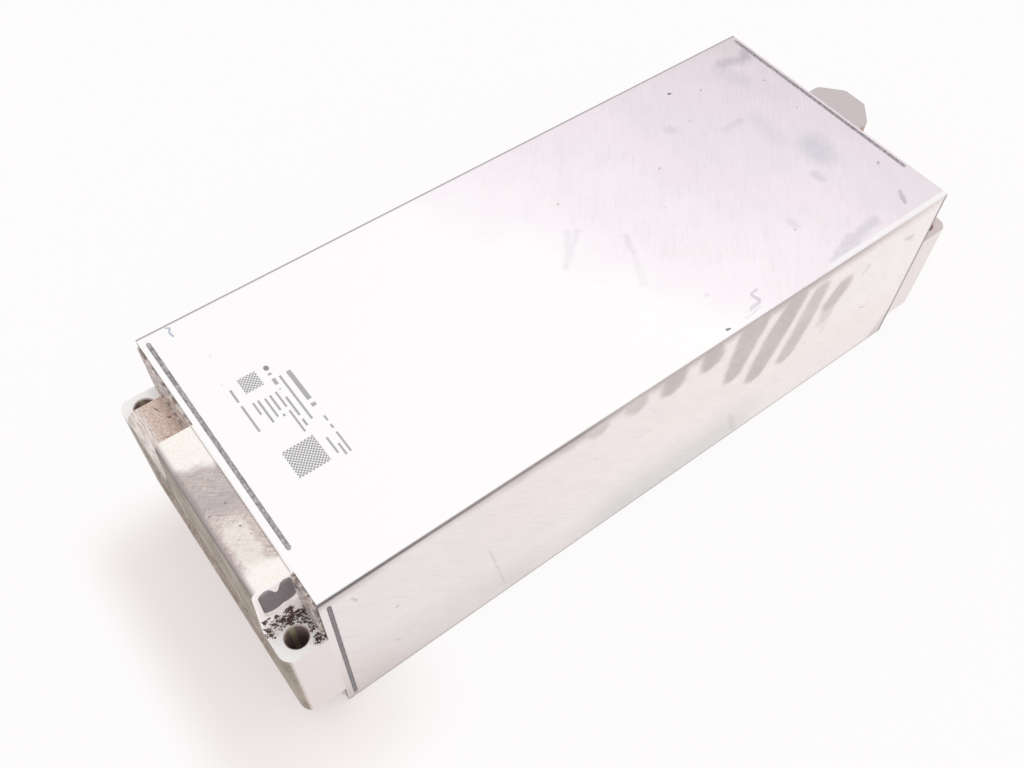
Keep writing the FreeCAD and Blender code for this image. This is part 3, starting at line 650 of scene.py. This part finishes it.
bars = strongest(
    box_mask(x, (low + high) / 2, half, (high - low) / 2) for x, low, high, half in print_rows)
cells = add(tree, "Mapping", {
    "Vector": mm, "Location": (63.62, 0.0, 0.0), "Scale": (0.4032, 0.45, 0.0)})
cells = add(tree, "VectorMath", {0: cells.outputs[0]}, operation="FLOOR")
cells = add(tree, "TexWhiteNoise", {"Vector": cells.outputs[0]}, noise_dimensions="3D")
bars = times(bars, ramp(cells.outputs["Value"], 0.15, 0.17), 0.55)
squares = strongest(box_mask(x, y, half, half) for x, y, half in square_places)
chequer = add(tree, "TexChecker", {
    "Vector": mm, "Color1": (0, 0, 0, 1), "Color2": (1, 1, 1, 1), "Scale": 1.25})
squares = times(squares, plus(chequer.outputs["Fac"], 0.55, 0.12))
dot = rub(mm, (-138.6, 28.8, top), (-138.6, 28.3, top), (1.3, 1.3), 0.3, 0.7)
ink = strongest([bars, squares, dot])
top_tint = blend(ink, top_tint, "#4D484C")
pen_strokes = [
    (-162.7, 72.4, -161.4, 71.5), (-161.7, 70.9, -162.6, 69.6), (-162.6, 69.4, -162.2, 66.5)]
tick = strongest(rub(wobble, (x1, y1, top), (x2, y2, top), (0.6, 0.6), 0.4, 0.55)
                 for x1, y1, x2, y2 in pen_strokes)
top_tint = blend(tick, top_tint, "#4C6FA0")
print(len(print_rows), "rows of plain bars")

# %% [markdown]
# Mill finish scatters light in a wide lobe. A metallic shader with a roughness near 0.45 gives
# that satin. Grime is not metal, so it is rougher and takes the metal away. A very shallow bump
# from fine grain, drawn coarser than the real 0.1 mm so that it shows, keeps it from plastic.

# %% Sleeve: gloss and grain
bump = bumps(grain, 0.05, 0.0002)
wall_shader = add(tree, "BsdfPrincipled")
for part, tint, marked in ((top_shader, top_tint, strongest([grey_mask, ink])),
                          (wall_shader, wall_tint, tracks_and_edge_shade)):
    fill(part, {"Base Color": tint, "Roughness": plus(marked, 0.3, plus(cloud, 0.12, 0.4)),
                "Metallic": plus(marked, -0.5, 0.85), "Normal": bump})
both = add(tree, "MixShader", {0: on_top, 1: wall_shader.outputs[0], 2: top_shader.outputs[0]})
fill(tree.nodes["Material Output"], {"Surface": both.outputs[0]})


def give(finish, *pieces):
    """Puts a finish on CAD pieces in place of the plain one they came with."""
    for piece in pieces:
        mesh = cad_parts[piece].data
        mesh.materials.clear()
        mesh.materials.append(finish)


give(sleeve_finish, "housing_sleeve")
print("sleeve finish:", len(tree.nodes), "nodes")

# %% [markdown]
# The end plates are die-cast aluminium. Cast skin is greyer and warmer than the sleeve, with
# fine orange-peel and small dark pits. Where the front plate faces outwards, away from the
# window, it is painted a darker olive as shade. The ears and the side faces were milled. That
# leaves them frosty, nearly white at the front and greyer at the rear, so they are drawn mostly
# as a matt white and only partly as metal. Where a face lies, and which way it looks, decides
# which of these it is.

# %% Castings: cast skin and milled faces
cast_finish, tree, shader, mm = new_finish("die_cast_aluminium")
at_x, at_y, at_z = parts(mm)
facing_x, _, facing_z = parts(add(tree, "NewGeometry").outputs["True Normal"])
at_front = ramp(at_x, -150, -160)
up = ramp(facing_z, 0.95, 0.99)
from_middle = calc("ABSOLUTE", at_y)
along_x = calc("ABSOLUTE", at_x)
on_ear = calc("COMPARE", at_z, ear_top, 0.3)
ear = times(on_ear, up, ramp(from_middle, -block_wall - 1.4, -block_wall - 0.6))
facing_out_front = times(at_front, ramp(facing_x, -0.4, -0.8))
milled_side = times(ramp(from_middle, half_width - 6.5, half_width - 4.5),
                    ramp(at_z, ear_top + 0.2, ear_top - 0.2), ramp(up, 1, 0),
                    ramp(facing_out_front, 1, 0))

patches = noise(mm, 0.09, 6, 0.65)
fine = noise(mm, 0.9, 4, 0.7)
skin = blend(ramp(patches, 0.35, 0.7), "#DDD3CC", "#BEB2A9")
skin = blend(times(ramp(fine, 0.5, 0.8), 0.5), skin, "#F0E9E2")
# Painted shade: the front plate's outward face, turned from the window, is a darker olive with
# paler streaks.
outward = times(at_front, ramp(facing_x, -0.25, -0.75),
                ramp(at_x, front_face + 6, front_face + 3))
quarter_turn = 1.5708
lines = noise(drawn_along(mm, quarter_turn, 26, 0.9), 1, 3, 0.6)
outward_shade_colour = blend(ramp(patches, 0.35, 0.65), "#B0A698", "#8A7F70")
outward_shade_colour = blend(times(ramp(lines, 0.5, 0.68), 0.55), outward_shade_colour, "#CFC6BC")
skin = blend(outward, skin, outward_shade_colour)
skin = blend(ear, skin, blend(at_front, "#D9D0CE", "#FFFFFF"))
skin = blend(milled_side, skin, "#EFE8E7")
boss = times(up, ramp(at_x, sleeve_end, sleeve_end + 0.6), ramp(at_z, top - 1, top - 0.6))
skin = blend(boss, skin, "#CDC4C6")
print("cast skin and milled faces ready")

# %% [markdown]
# The top of the front block was milled too, but something has rubbed on it. It is cream white at
# both ends, grey-violet in the middle and pinkish brown between. The zones run across the block
# at a slant, so a ruler of Y tilted by X places them, and a noise bends it. Scratches are two
# noises drawn out along crossing directions.

# %% Castings: scuffed block top
block_pits = [
    # x, y, half width
    (-182.4, -18.1, 0.5), (-182.5, -30.1, 0.6), (-190.1, -19.7, 0.4), (-180.7, -35.3, 0.4),
    (-187.2, -7.4, 0.3),
]
ragged = shake(mm, 0.2, 9)
bent_x, bent_y = parts(ragged)[:2]
tilt = 0.33
tilted = plus(bent_x, tilt, plus(bent_y, 1, 185.0 * tilt))
block_top = times(ramp(at_z, top - 3.4, top - 1.2), at_front, ramp(facing_z, 0.3, 0.9))
down_stroke = noise(drawn_along(mm, -0.55, 6, 0.7), 1, 3, 0.7)
up_stroke = noise(drawn_along(mm, 0.6, 5, 0.7), 1, 3, 0.7)
stroke = calc("MAXIMUM", down_stroke, up_stroke)
skin = blend(block_top, skin, blend(ramp(fine, 0.35, 0.8), "#FFFDF8", "#F8F0E8"))
outer_side = ramp(bent_x, -186.5, -191)
inner_side = ramp(bent_x, -183, -179.5)
pink_zone = times(band(tilted, -46.5, -14, 3), strongest([
    times(ramp(tilted, -34, -22), 0.9), times(inner_side, 0.95), times(outer_side, 0.9),
    0.42]))
grey_side = times(outer_side, band(tilted, -50, 3, 4), 0.75)
pink_zone = times(strongest([pink_zone, grey_side]), block_top, plus(stroke, 2.6, -0.55))
skin = blend(pink_zone, skin, "#CDBDB8")
dark_zone = times(ramp(tilted, 5.5, -0.5), ramp(tilted, -27, -16), block_top,
                  plus(stroke, 1.3, 0.2))
skin = blend(dark_zone, skin, blend(ramp(patches, 0.46, 0.6), "#C0B7B8", "#C7BBB6"))
scratches = times(ramp(stroke, 0.58, 0.7), strongest([pink_zone, dark_zone]), 0.45)
skin = blend(scratches, skin, "#968785")
light_scratches = times(ramp(down_stroke, 0.42, 0.3), dark_zone, 0.5)
skin = blend(light_scratches, skin, "#EFE5E0")
pits = strongest(
    rub(mm, (x, y, top), (x - 0.3, y + 0.3, top), (half, half), 0.4) for x, y, half in block_pits)
skin = blend(times(pits, block_top, 0.6), skin, "#5A4C49")
# Painted shade: the block top darkens over its rounded outer edge and shoulder, where it bends away
# from the light.
edge_shade = times(ramp(at_x, front_face + 4.6, front_face + 2.6), block_top, 0.45)
skin = blend(edge_shade, skin, "#A2979A")
shoulder_shade = times(ramp(at_x, front_face + 3.6, front_face + 1.2), at_front,
                 ramp(at_z, top - 5.5, top - 3), 0.85)
skin = blend(shoulder_shade, skin, "#8A807E")
joint = times(block_top, ramp(facing_z, 0.95, 0.99))
skin = blend(times(joint, ramp(at_x, wall_face + 0.2, wall_face + 0.5)), skin, "#FBFBFB")
gap_line = band(at_x, wall_face - 0.35, wall_face + 0.15, 0.2)
skin = blend(times(joint, gap_line, 0.5), skin, "#8C817C")
print(len(block_pits), "pits on the block")

# %% [markdown]
# The shelf beside the block is pinkish beige, mottled and pitted, with pale streaks towards its
# rounded outer edge. The walls behind the ears and the shelf, where the plate meets the sleeve,
# are speckled with dark dirt. The hollow in the block's wall is smooth and dark: its floor lies
# deeper than the wall, and that depth is the mask. Two lobes cut the mask, so the dark colour
# ends in round corners below.

# %% Castings: shelf, walls behind it and hollow
shelf_top = ear_top + 12.0
shelf_place = times(at_front, ramp(at_y, block_far - 0.5, block_far + 0.3),
                    band(at_z, shelf_top - 4, shelf_top + 0.6, 0.5))
mottled = blend(ramp(noise(mm, 0.8, 5, 0.75), 0.38, 0.62), "#F0E0D6", "#D2BBAE")
mottled = blend(times(ramp(at_x, -183, -178), 0.55), mottled, "#B89F92")
flecks = times(ramp(noise(mm, 1.5, 3, 0.75), 0.57, 0.63), 0.7)
spot_places = [
    (-182.6, 54.2, -182.4, 52.6), (-180.2, 46.9, -180, 45.8), (-184.6, 37.6, -182, 38)]
shelf_spots = strongest(
    rub(ragged, (x1, y1, shelf_top), (x2, y2, shelf_top), (0.9, 0.8), 0.6)
    for x1, y1, x2, y2 in spot_places)
mottled = blend(strongest([flecks, shelf_spots]), mottled, "#6A5048")
skin = blend(times(shelf_place, ramp(facing_z, 0.3, 0.8)), skin, mottled)
shelf_rim = times(shelf_place, ramp(at_x, front_face + 8.5, front_face + 4), 0.85)
streaks = ramp(noise(drawn_along(mm, quarter_turn, 8, 0.8), 1), 0.4, 0.6)
skin = blend(shelf_rim, skin, blend(streaks, "#D2C6C1", "#F8F3F1"))

speckle = noise(mm, 1, 4, 0.75)
back_wall = times(at_front, band(at_x, wall_face - 0.8, -sleeve_end + 0.5, 0.2),
                  ramp(at_z, ear_top + 0.3, ear_top + 1), ramp(at_z, top - 1, top - 1.6))
wall_colour = blend(ramp(noise(mm, 0.3, 4, 0.7), 0.36, 0.6), "#EBE3DF", "#94847B")
wall_colour = blend(times(ramp(speckle, 0.56, 0.68), 0.7), wall_colour, "#46362F")
skin = blend(back_wall, skin, wall_colour)

by_wall = times(at_front, band(at_y, block_wall - 0.3, block_wall + 1.3, 0.2),
                ramp(at_z, ear_top + 0.2, ear_top + 1),
                ramp(at_x, wall_face - 0.2, wall_face - 0.8))
on_wall = times(by_wall, strongest([ramp(up, 1, 0), ramp(at_z, top - 8, top - 12)]))
skin = blend(on_wall, skin, "#FFFAFA")
lobes = strongest([
    rub(mm, (-188.3, block_wall, 105), (-187, block_wall, 93), (4.6, 5.9), 1),
    rub(mm, (-180.6, block_wall, 105), (-181.4, block_wall, 93.4), (3.6, 5.4), 1),
])
in_hollow = times(by_wall, lobes, ramp(at_z, top - 0.4, top - 0.8),
                  ramp(at_y, block_wall + 0.08, block_wall + 0.45))
hollow_colour = blend(ramp(fine, 0.3, 0.7), "#767175", "#868084")
# Painted light: the hollow grows paler towards its top.
hollow_painted_light = times(ramp(at_z, top - 6, top - 1.5), 0.6)
hollow_colour = blend(hollow_painted_light, hollow_colour, "#C9C2C5")
skin = blend(in_hollow, skin, hollow_colour)
print("shelf, walls and hollow ready")

# %% [markdown]
# Road dirt settled where the ears meet the walls, and each bolt's washer kept the ring round its
# hole clean. A coarse noise gathers the dirt, a fine one breaks it into specks, and both are held
# to strips beside the walls. On the block's wall it sits in clumps low down, which capsules
# place. The near front ear is the dirtiest. Each bore is brown-grey with a pale yellowish band
# down its middle.

# %% Castings: dirt round the bolt holes
washer_radius = 6.0
wall_clumps = [
    # x, z, second x, z, half width
    (-182.8, 84.5, -182.9, 79, 2.8), (-182.9, 79, -182, 74.2, 3.6),
    (-188, 83, -187.6, 76.5, 2.6), (-190.8, 80.5, -190.4, 75.5, 2.7),
    (-194.6, 78.2, -192, 84.5, 1.7), (-194.2, 78, -191.8, 73, 1.9),
    (-179.6, 77.5, -177.8, 74.5, 2.6), (-185.8, 79, -185.2, 74.5, 2.4),
]
flat_x = calc("SUBTRACT", along_x, -hole_x)
flat_y = calc("SUBTRACT", from_middle, -hole_y)
flat = add(tree, "CombineXYZ", {0: flat_x, 1: flat_y})
from_hole = add(tree, "VectorMath", {0: flat.outputs[0]}, operation="LENGTH").outputs["Value"]
outside_washer = ramp(from_hole, washer_radius - 1.2, washer_radius + 0.2)
by_block = times(ramp(from_middle, -block_wall + 3, -block_wall + 1),
                 plus(band(along_x, 188.6, 191.2, 0.5), -0.75, 1))
by_sleeve = times(ramp(along_x, sleeve_end + 6.2, sleeve_end + 3.4),
                  plus(band(from_middle, half_width - 6, half_width - 5, 0.6), -0.6, 1))
on_flat = times(ramp(at_z, ear_top - 0.5, ear_top - 0.2),
                ramp(at_z, ear_top + 1.4, ear_top + 0.6),
                ramp(from_middle, -block_wall - 0.5, -block_wall - 0.2))
flat_dirt = times(strongest([by_block, by_sleeve]), outside_washer, on_flat)
near_front = times(at_front, ramp(at_y, 0, -10))
wall_dirt = times(near_front, on_wall, strongest(
    rub(ragged, (x1, block_wall, z1), (x2, block_wall, z2), (half, half), 0.8 * half)
    for x1, z1, x2, z2, half in wall_clumps))
amount = times(strongest([flat_dirt, wall_dirt]), plus(near_front, 0.45, 0.55))
clumps = plus(noise(mm, 0.4, 3), 0.6, noise(mm, 1.15, 3, 0.75))
level = plus(amount, -0.41, plus(wall_dirt, -0.17, 1.19))
dirt = times(ramp(calc("SUBTRACT", clumps, level), 0, 0.05), ramp(amount, 0.04, 0.15))
dust = times(amount, 0.35, plus(speckle, 1.6, -0.2))
skin = blend(dust, skin, "#A9998F")
skin = blend(dirt, skin, blend(ramp(fine, 0.3, 0.7), "#3A2A2B", "#634C45"))

in_bore = times(ramp(from_hole, 5.2, 4.9), ramp(at_z, ear_top - 0.2, ear_top - 0.8))
bore_middle = ramp(calc("ABSOLUTE", flat_x), 1.7, 0.6)
skin = blend(in_bore, skin, blend(bore_middle, "#A6938D", "#D3CBAC"))
# Painted shade: a grey ring darkens the chamfer round the mouth of each bore.
rim_painted_shade = times(on_ear, ramp(from_hole, 5.4, 4.9), 0.6)
skin = blend(rim_painted_shade, skin, "#7E7678")

pit = cell_pits(mm, 0.35, 0.13, 0.05)
skin = blend(times(pit, plus(ear, -0.4, 0.45)), skin, "#5A4A44")
print("dirt stays outside", washer_radius, "mm of the holes")

# %% [markdown]
# Gloss follows from the same masks. Dirt is rough and no metal at all, the milled faces scatter
# light like frost, and the bare skin between them is the most metallic. Fine grain and the pits
# give the relief.

# %% Castings: gloss and relief
frosty = strongest([times(ear, 0.95), on_wall, in_bore, back_wall, times(milled_side, 0.4)])
rough = plus(dirt, 0.35, plus(strongest([ear, milled_side]), -0.1, 0.52))
metal = plus(strongest([dirt, frosty]), -0.8, 0.8)
relief = bumps(plus(pit, -0.6, fine), 0.35, 0.0003)
fill(shader, {"Base Color": skin, "Roughness": rough, "Metallic": metal, "Normal": relief})
give(cast_finish, "front_end_casting", "rear_end_casting")
print("cast finish:", len(tree.nodes), "nodes")

# %% [markdown]
# A laser ran along each seam and left a narrow sunk bead, a row of overlapping ripples like fish
# scales. Each bead is a strip computed on a grid: u runs along the seam and v across it. Its
# height is a low arch across the width, lowered a little by a wave that bends back with v, and
# its underside lies on the floor of the groove, so the strip is a closed solid.

# %% Weld beads
bead_half = 0.98
bead_height = 0.22
groove_depth = 0.25
ripple_pitch = 1.1
ripple_depth = 0.16
wander = 0.04
gap_below = 0.01
groove_floor = gap_below - groove_depth


def surface_object(name, points, faces):
    """A smooth mesh object from points in millimetres and rows of corner numbers."""
    mesh = bpy.data.meshes.new(name)
    mesh.from_pydata((points * MM).tolist(), [], faces)
    mesh.polygons.foreach_set("use_smooth", np.ones(len(faces), dtype=bool))
    made = put_in_scene(name, mesh)
    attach(made, "root")
    return made


def tube_faces(rings, sides):
    """Quads between neighbouring rings of a closed tube, all as one array."""
    ring, side = np.meshgrid(np.arange(rings - 1), np.arange(sides), indexing="ij")
    following = (side + 1) % sides
    corners = (ring * sides + side, ring * sides + following,
               (ring + 1) * sides + following, (ring + 1) * sides + side)
    return np.stack([corner.ravel() for corner in corners], axis=1)


def weld_bead(name, start, end, outward):
    """Closed strip from start to end: arch (1 - v^2) times its height, rippled along u."""
    start, end, outward = (np.array(value, dtype=float) for value in (start, end, outward))
    length = np.linalg.norm(end - start)
    along = (end - start) / length
    sideways = np.cross(along, outward)
    steps = int(length / ripple_pitch * 4) + 1
    across = np.linspace(-1.0, 1.0, 9)
    u = np.linspace(0.0, length, steps)[:, None]
    taper = np.sqrt(np.clip(np.minimum(u, length - u) / bead_half, 0.02, 1.0))
    ripple = ripple_depth * np.cos(2 * math.pi * (u / ripple_pitch + 0.45 * across ** 2))
    crown = bead_height * (1 - across ** 2) * (1 - ripple_depth + ripple)
    width = bead_half * taper * (across + wander * np.sin(u * 0.9))
    upper = np.stack([np.broadcast_to(u, width.shape), width, crown - groove_depth], axis=2)
    lower = upper[:, ::-1][:, 1:-1].copy()
    lower[:, :, 2] = groove_floor
    upper[:, (0, -1), 2] = groove_floor
    ring = np.concatenate([upper, lower], axis=1)
    ring[[0, -1], :, 2] = groove_floor
    points = start + ring[:, :, :1] * along + ring[:, :, 1:2] * sideways + ring[:, :, 2:] * outward
    sides = ring.shape[1]
    caps = [list(range(sides))[::-1], list(range((steps - 1) * sides, steps * sides))]
    bead = surface_object(name, points.reshape(-1, 3), tube_faces(steps, sides).tolist() + caps)
    return bead


front_seam = -sleeve_end + 3.4
rear_seam = sleeve_end - 2.4
side_seam = -sleeve_end + 4.0
seam_near = -half_width + 24.8
seam_far = half_width - 4.5
seam_foot = 3.9
seam_head = top - 7.6
beads = []
for word, x in (("front", front_seam), ("rear", rear_seam)):
    for level, z, outward in (("top", top, (0, 0, 1)), ("bottom", 0.0, (0, 0, -1))):
        start, end = (x, seam_near, z), (x, seam_far, z)
        beads.append(weld_bead("weld_%s_%s" % (word, level), start, end, outward))
for word, side in (("near", -1), ("far", 1)):
    start = (side_seam, side * half_width, seam_foot)
    end = (side_seam, side * half_width, seam_head)
    beads.append(weld_bead("weld_side_" + word, start, end, (0, side, 0)))
print(len(beads), "beads of about", len(beads[0].data.polygons), "faces")

# %% [markdown]
# Weld metal that nobody brushed is dull: the surface froze in ripples and a thin soot settled in
# them. Mid grey, rough, and only half metallic to the eye. On the side walls the beads are a
# darker grey than on the top.

# %% Weld finish
weld_finish, tree, shader, mm = new_finish("unbrushed_weld_metal")
at_y = parts(mm)[1]
soot = noise(mm, 0.8, 4, 0.7)
colour = blend(ramp(soot, 0.35, 0.7), "#8E8B90", "#CBC8CC")
on_side = ramp(calc("ABSOLUTE", at_y), half_width - 0.5, half_width - 0.3)
colour = blend(times(on_side, 0.6), colour, "#7D787B")
fill(shader, {"Base Color": colour, "Metallic": 0.55, "Roughness": 0.62,
              "Normal": bumps(soot, 0.3, 0.0002)})
for bead in beads:
    bead.data.materials.append(weld_finish)
print("weld finish on", len(beads), "beads")

# %% [markdown]
# Close up, the dirt by the near ear stands off the metal. Crumbs are small dented balls: angle
# and height on a ball give a direction, and its radius is pushed in and out by two sines whose
# phases differ for each crumb. They lie in clusters, each a cloud of chance places round a
# middle. All crumbs are worked out as one array and kept in one mesh.

# %% Dirt crumbs
chance = np.random.default_rng(7)
dent_depth = 0.3
flatness = 0.6
smallest = 0.1
more_size = 0.38
rarity_of_large = 2.2
crumb_clusters = np.array([
    # x, y, spread, crumbs
    (-184, -59.3, 1.3, 55), (-181, -60.2, 1.2, 35), (-193, -59.8, 1, 40),
    (-188.2, -59.3, 0.7, 16), (-178.6, -62.5, 1, 38), (-178.3, -66.5, 1, 36),
    (-178.6, -71.6, 1.2, 46), (-179.9, -73.2, 0.7, 14),
])


def crumb_cloud(name, centres, radii):
    """Dented balls: the radius times 1 + dent_depth sin(3 turn + a) sin(2 rise + b)."""
    count = len(centres)
    rise = np.linspace(0.0, math.pi, 6)[1:-1]
    turn = np.arange(7) * 2 * math.pi / 7
    rise, turn = np.meshgrid(rise, turn, indexing="ij")
    dents = chance.uniform(0, 2 * math.pi, (count, 2))
    around, upward = dents[:, :1, None], dents[:, 1:, None]
    swell = 1 + dent_depth * (np.sin(3 * turn + around) * np.sin(2 * rise + upward))
    ball = np.stack([
        np.sin(rise) * np.cos(turn), np.sin(rise) * np.sin(turn), np.cos(rise) * flatness], axis=2)
    body = centres[:, None, None] + radii[:, None, None, None] * swell[..., None] * ball
    poles = np.array([(0, 0, flatness), (0, 0, -flatness)])
    ends = centres[:, None] + radii[:, None, None] * poles
    rings, sides = rise.shape
    points = np.concatenate([body.reshape(count, -1, 3), ends], axis=1)
    walls = tube_faces(rings, sides)[:, ::-1]
    side = np.arange(sides)
    following = (side + 1) % sides
    top_fan = np.stack([np.full(sides, rings * sides), side, following], axis=1)
    last = (rings - 1) * sides
    bottom_fan = np.stack([
        np.full(sides, rings * sides + 1), last + following, last + side], axis=1)
    faces = []
    for start in range(0, count * points.shape[1], points.shape[1]):
        for part in (walls, top_fan, bottom_fan):
            faces += (part + start).tolist()
    made = surface_object(name, points.reshape(-1, 3), faces)
    return made


def scatter_on_ear(clusters):
    """Chance places round the clusters, kept on the ear and clear of the washer's ring."""
    number = clusters[:, 3].astype(int)
    x, y = (np.repeat(clusters[:, column], number) for column in (0, 1))
    spread = np.repeat(clusters[:, 2], number)
    x = x + chance.normal(0.0, 1.0, len(x)) * spread
    y = y + chance.normal(0.0, 1.0, len(y)) * spread
    clear = np.hypot(x - hole_x, y - hole_y) > washer_radius - 0.8
    in_x = (x < wall_face - 0.7) & (x > front_face + 1.5)
    in_y = (y < block_wall - 0.7) & (y > -half_width + 0.8)
    kept = clear & in_x & in_y
    return x[kept], y[kept]


crumb_x, crumb_y = scatter_on_ear(crumb_clusters)
crumb_radius = smallest + more_size * chance.random(len(crumb_x)) ** rarity_of_large
crumb_places = np.stack([crumb_x, crumb_y, ear_top + crumb_radius * 0.3], axis=1)
crumb_piece = crumb_cloud("dirt_crumbs", crumb_places, crumb_radius)
print(len(crumb_x), "crumbs,", len(crumb_piece.data.polygons), "faces")

# %% [markdown]
# Dried dirt has no gloss. One noise drifts its brown and roughens the crumbs.

# %% Dirt finish
dirt_finish, tree, shader, mm = new_finish("dried_road_dirt")
clod = noise(mm, 1.8, 4, 0.5)
colour = blend(ramp(clod, 0.3, 0.7), "#2E211F", "#6B544B")
fill(shader, {"Base Color": colour, "Roughness": 0.95, "Normal": bumps(clod, 0.6, 0.0003)})
crumb_piece.data.materials.append(dirt_finish)
print("dirt finish on", crumb_piece.name)

# %% [markdown]
# The moulded parts, the copper and the films are mostly hidden, but each still gets a finish of
# its own kind. They share one recipe: a base colour that drifts between two shades at the scale
# of the real grain, a roughness that drifts with it, and a shallow bump. What differs is the
# colour, the size of the grain in millimetres, the gloss and whether it is metal.

# %% Moulded plastics, copper, steel and films


def plain_finish(name, light, dark, grain_mm, roughness, metallic=0.0, relief=0.2):
    """A finish that drifts between two shades, with grain of a given size in millimetres."""
    finish, tree, shader, mm = new_finish(name)
    drift = noise(mm, 1.0 / grain_mm, 5, 0.6)
    share = ramp(drift, 0.3, 0.7)
    fill(shader, {
        "Roughness": plus(share, 0.12, roughness - 0.06), "Normal": bumps(drift, relief, 0.0002),
        "Base Color": blend(share, light, dark), "Metallic": metallic})
    return finish


plain_finishes = [
    # words in names, material, two shades, grain, roughness, metallic, relief
    (["terminal_block"], "orange_glass_filled_nylon", "#E0681C", "#C85A14", 0.8, 0.48),
    (["busbar_frame", "insulating_cover"],
     "black_glass_filled_nylon", "#2B2B2D", "#1D1D1F", 0.8, 0.5),
    (["signal_connector"], "black_moulded_polyester", "#262628", "#1A1A1C", 1.2, 0.35),
    (["link_busbar", "terminal_busbar"],
     "bare_rolled_copper", "#D98F6C", "#B8704E", 6, 0.32, 1, 0.08),
    (["terminal_nuts"], "zinc_plated_steel", "#C9CACC", "#A9ABB0", 2, 0.3, 1, 0.1),
    (["connector_pins"], "gold_flashed_brass", "#E3C27A", "#CFA95E", 1, 0.25, 1, 0.05),
    (["pouch_cell"], "laminated_aluminium_pouch", "#C9CBD0", "#B4B6BC", 14, 0.28, 0.7, 0.5),
    (["foam_pad", "side_pad"], "closed_cell_foam", "#4A4A4C", "#333335", 0.6, 0.9, 0, 0.6),
    (["thermal_filler"], "cured_heat_paste", "#D9B7C6", "#C9A4B5", 3, 0.6),
    (["insulating_film"], "insulating_polyester_film", "#E9E6DA", "#DEDACB", 9, 0.22),
    (["sensing_circuit"], "amber_circuit_film", "#B5702A", "#9C5C1C", 4, 0.25),
    (["temperature_sensors"], "black_epoxy_bead", "#1B1B1C", "#101011", 1.5, 0.3),
]
for words, *recipe in plain_finishes:
    pieces = [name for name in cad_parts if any(word in name for word in words)]
    give(plain_finish(*recipe), *pieces)
plain = [name for name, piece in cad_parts.items() if not piece.data.materials[0].use_nodes]
print("kinds of finish:", len(plain_finishes), "left plain:", plain)

# %% [markdown]
# The view transform stays at Standard, so a colour renders about as it is written. The size of
# the dressed module is written down beside the size of the solids, to show that the looks added
# nothing to its outline.

# %% Picture settings, sizes and the end
bpy.context.scene.view_settings.view_transform = "Standard"


def corners(box):
    """A box of two corners as plain lists of numbers."""
    return [[float(value) for value in corner] for corner in box]


sizes = {"cad": corners(cad_box), "visual": corners(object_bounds())}
print("sizes", sizes)
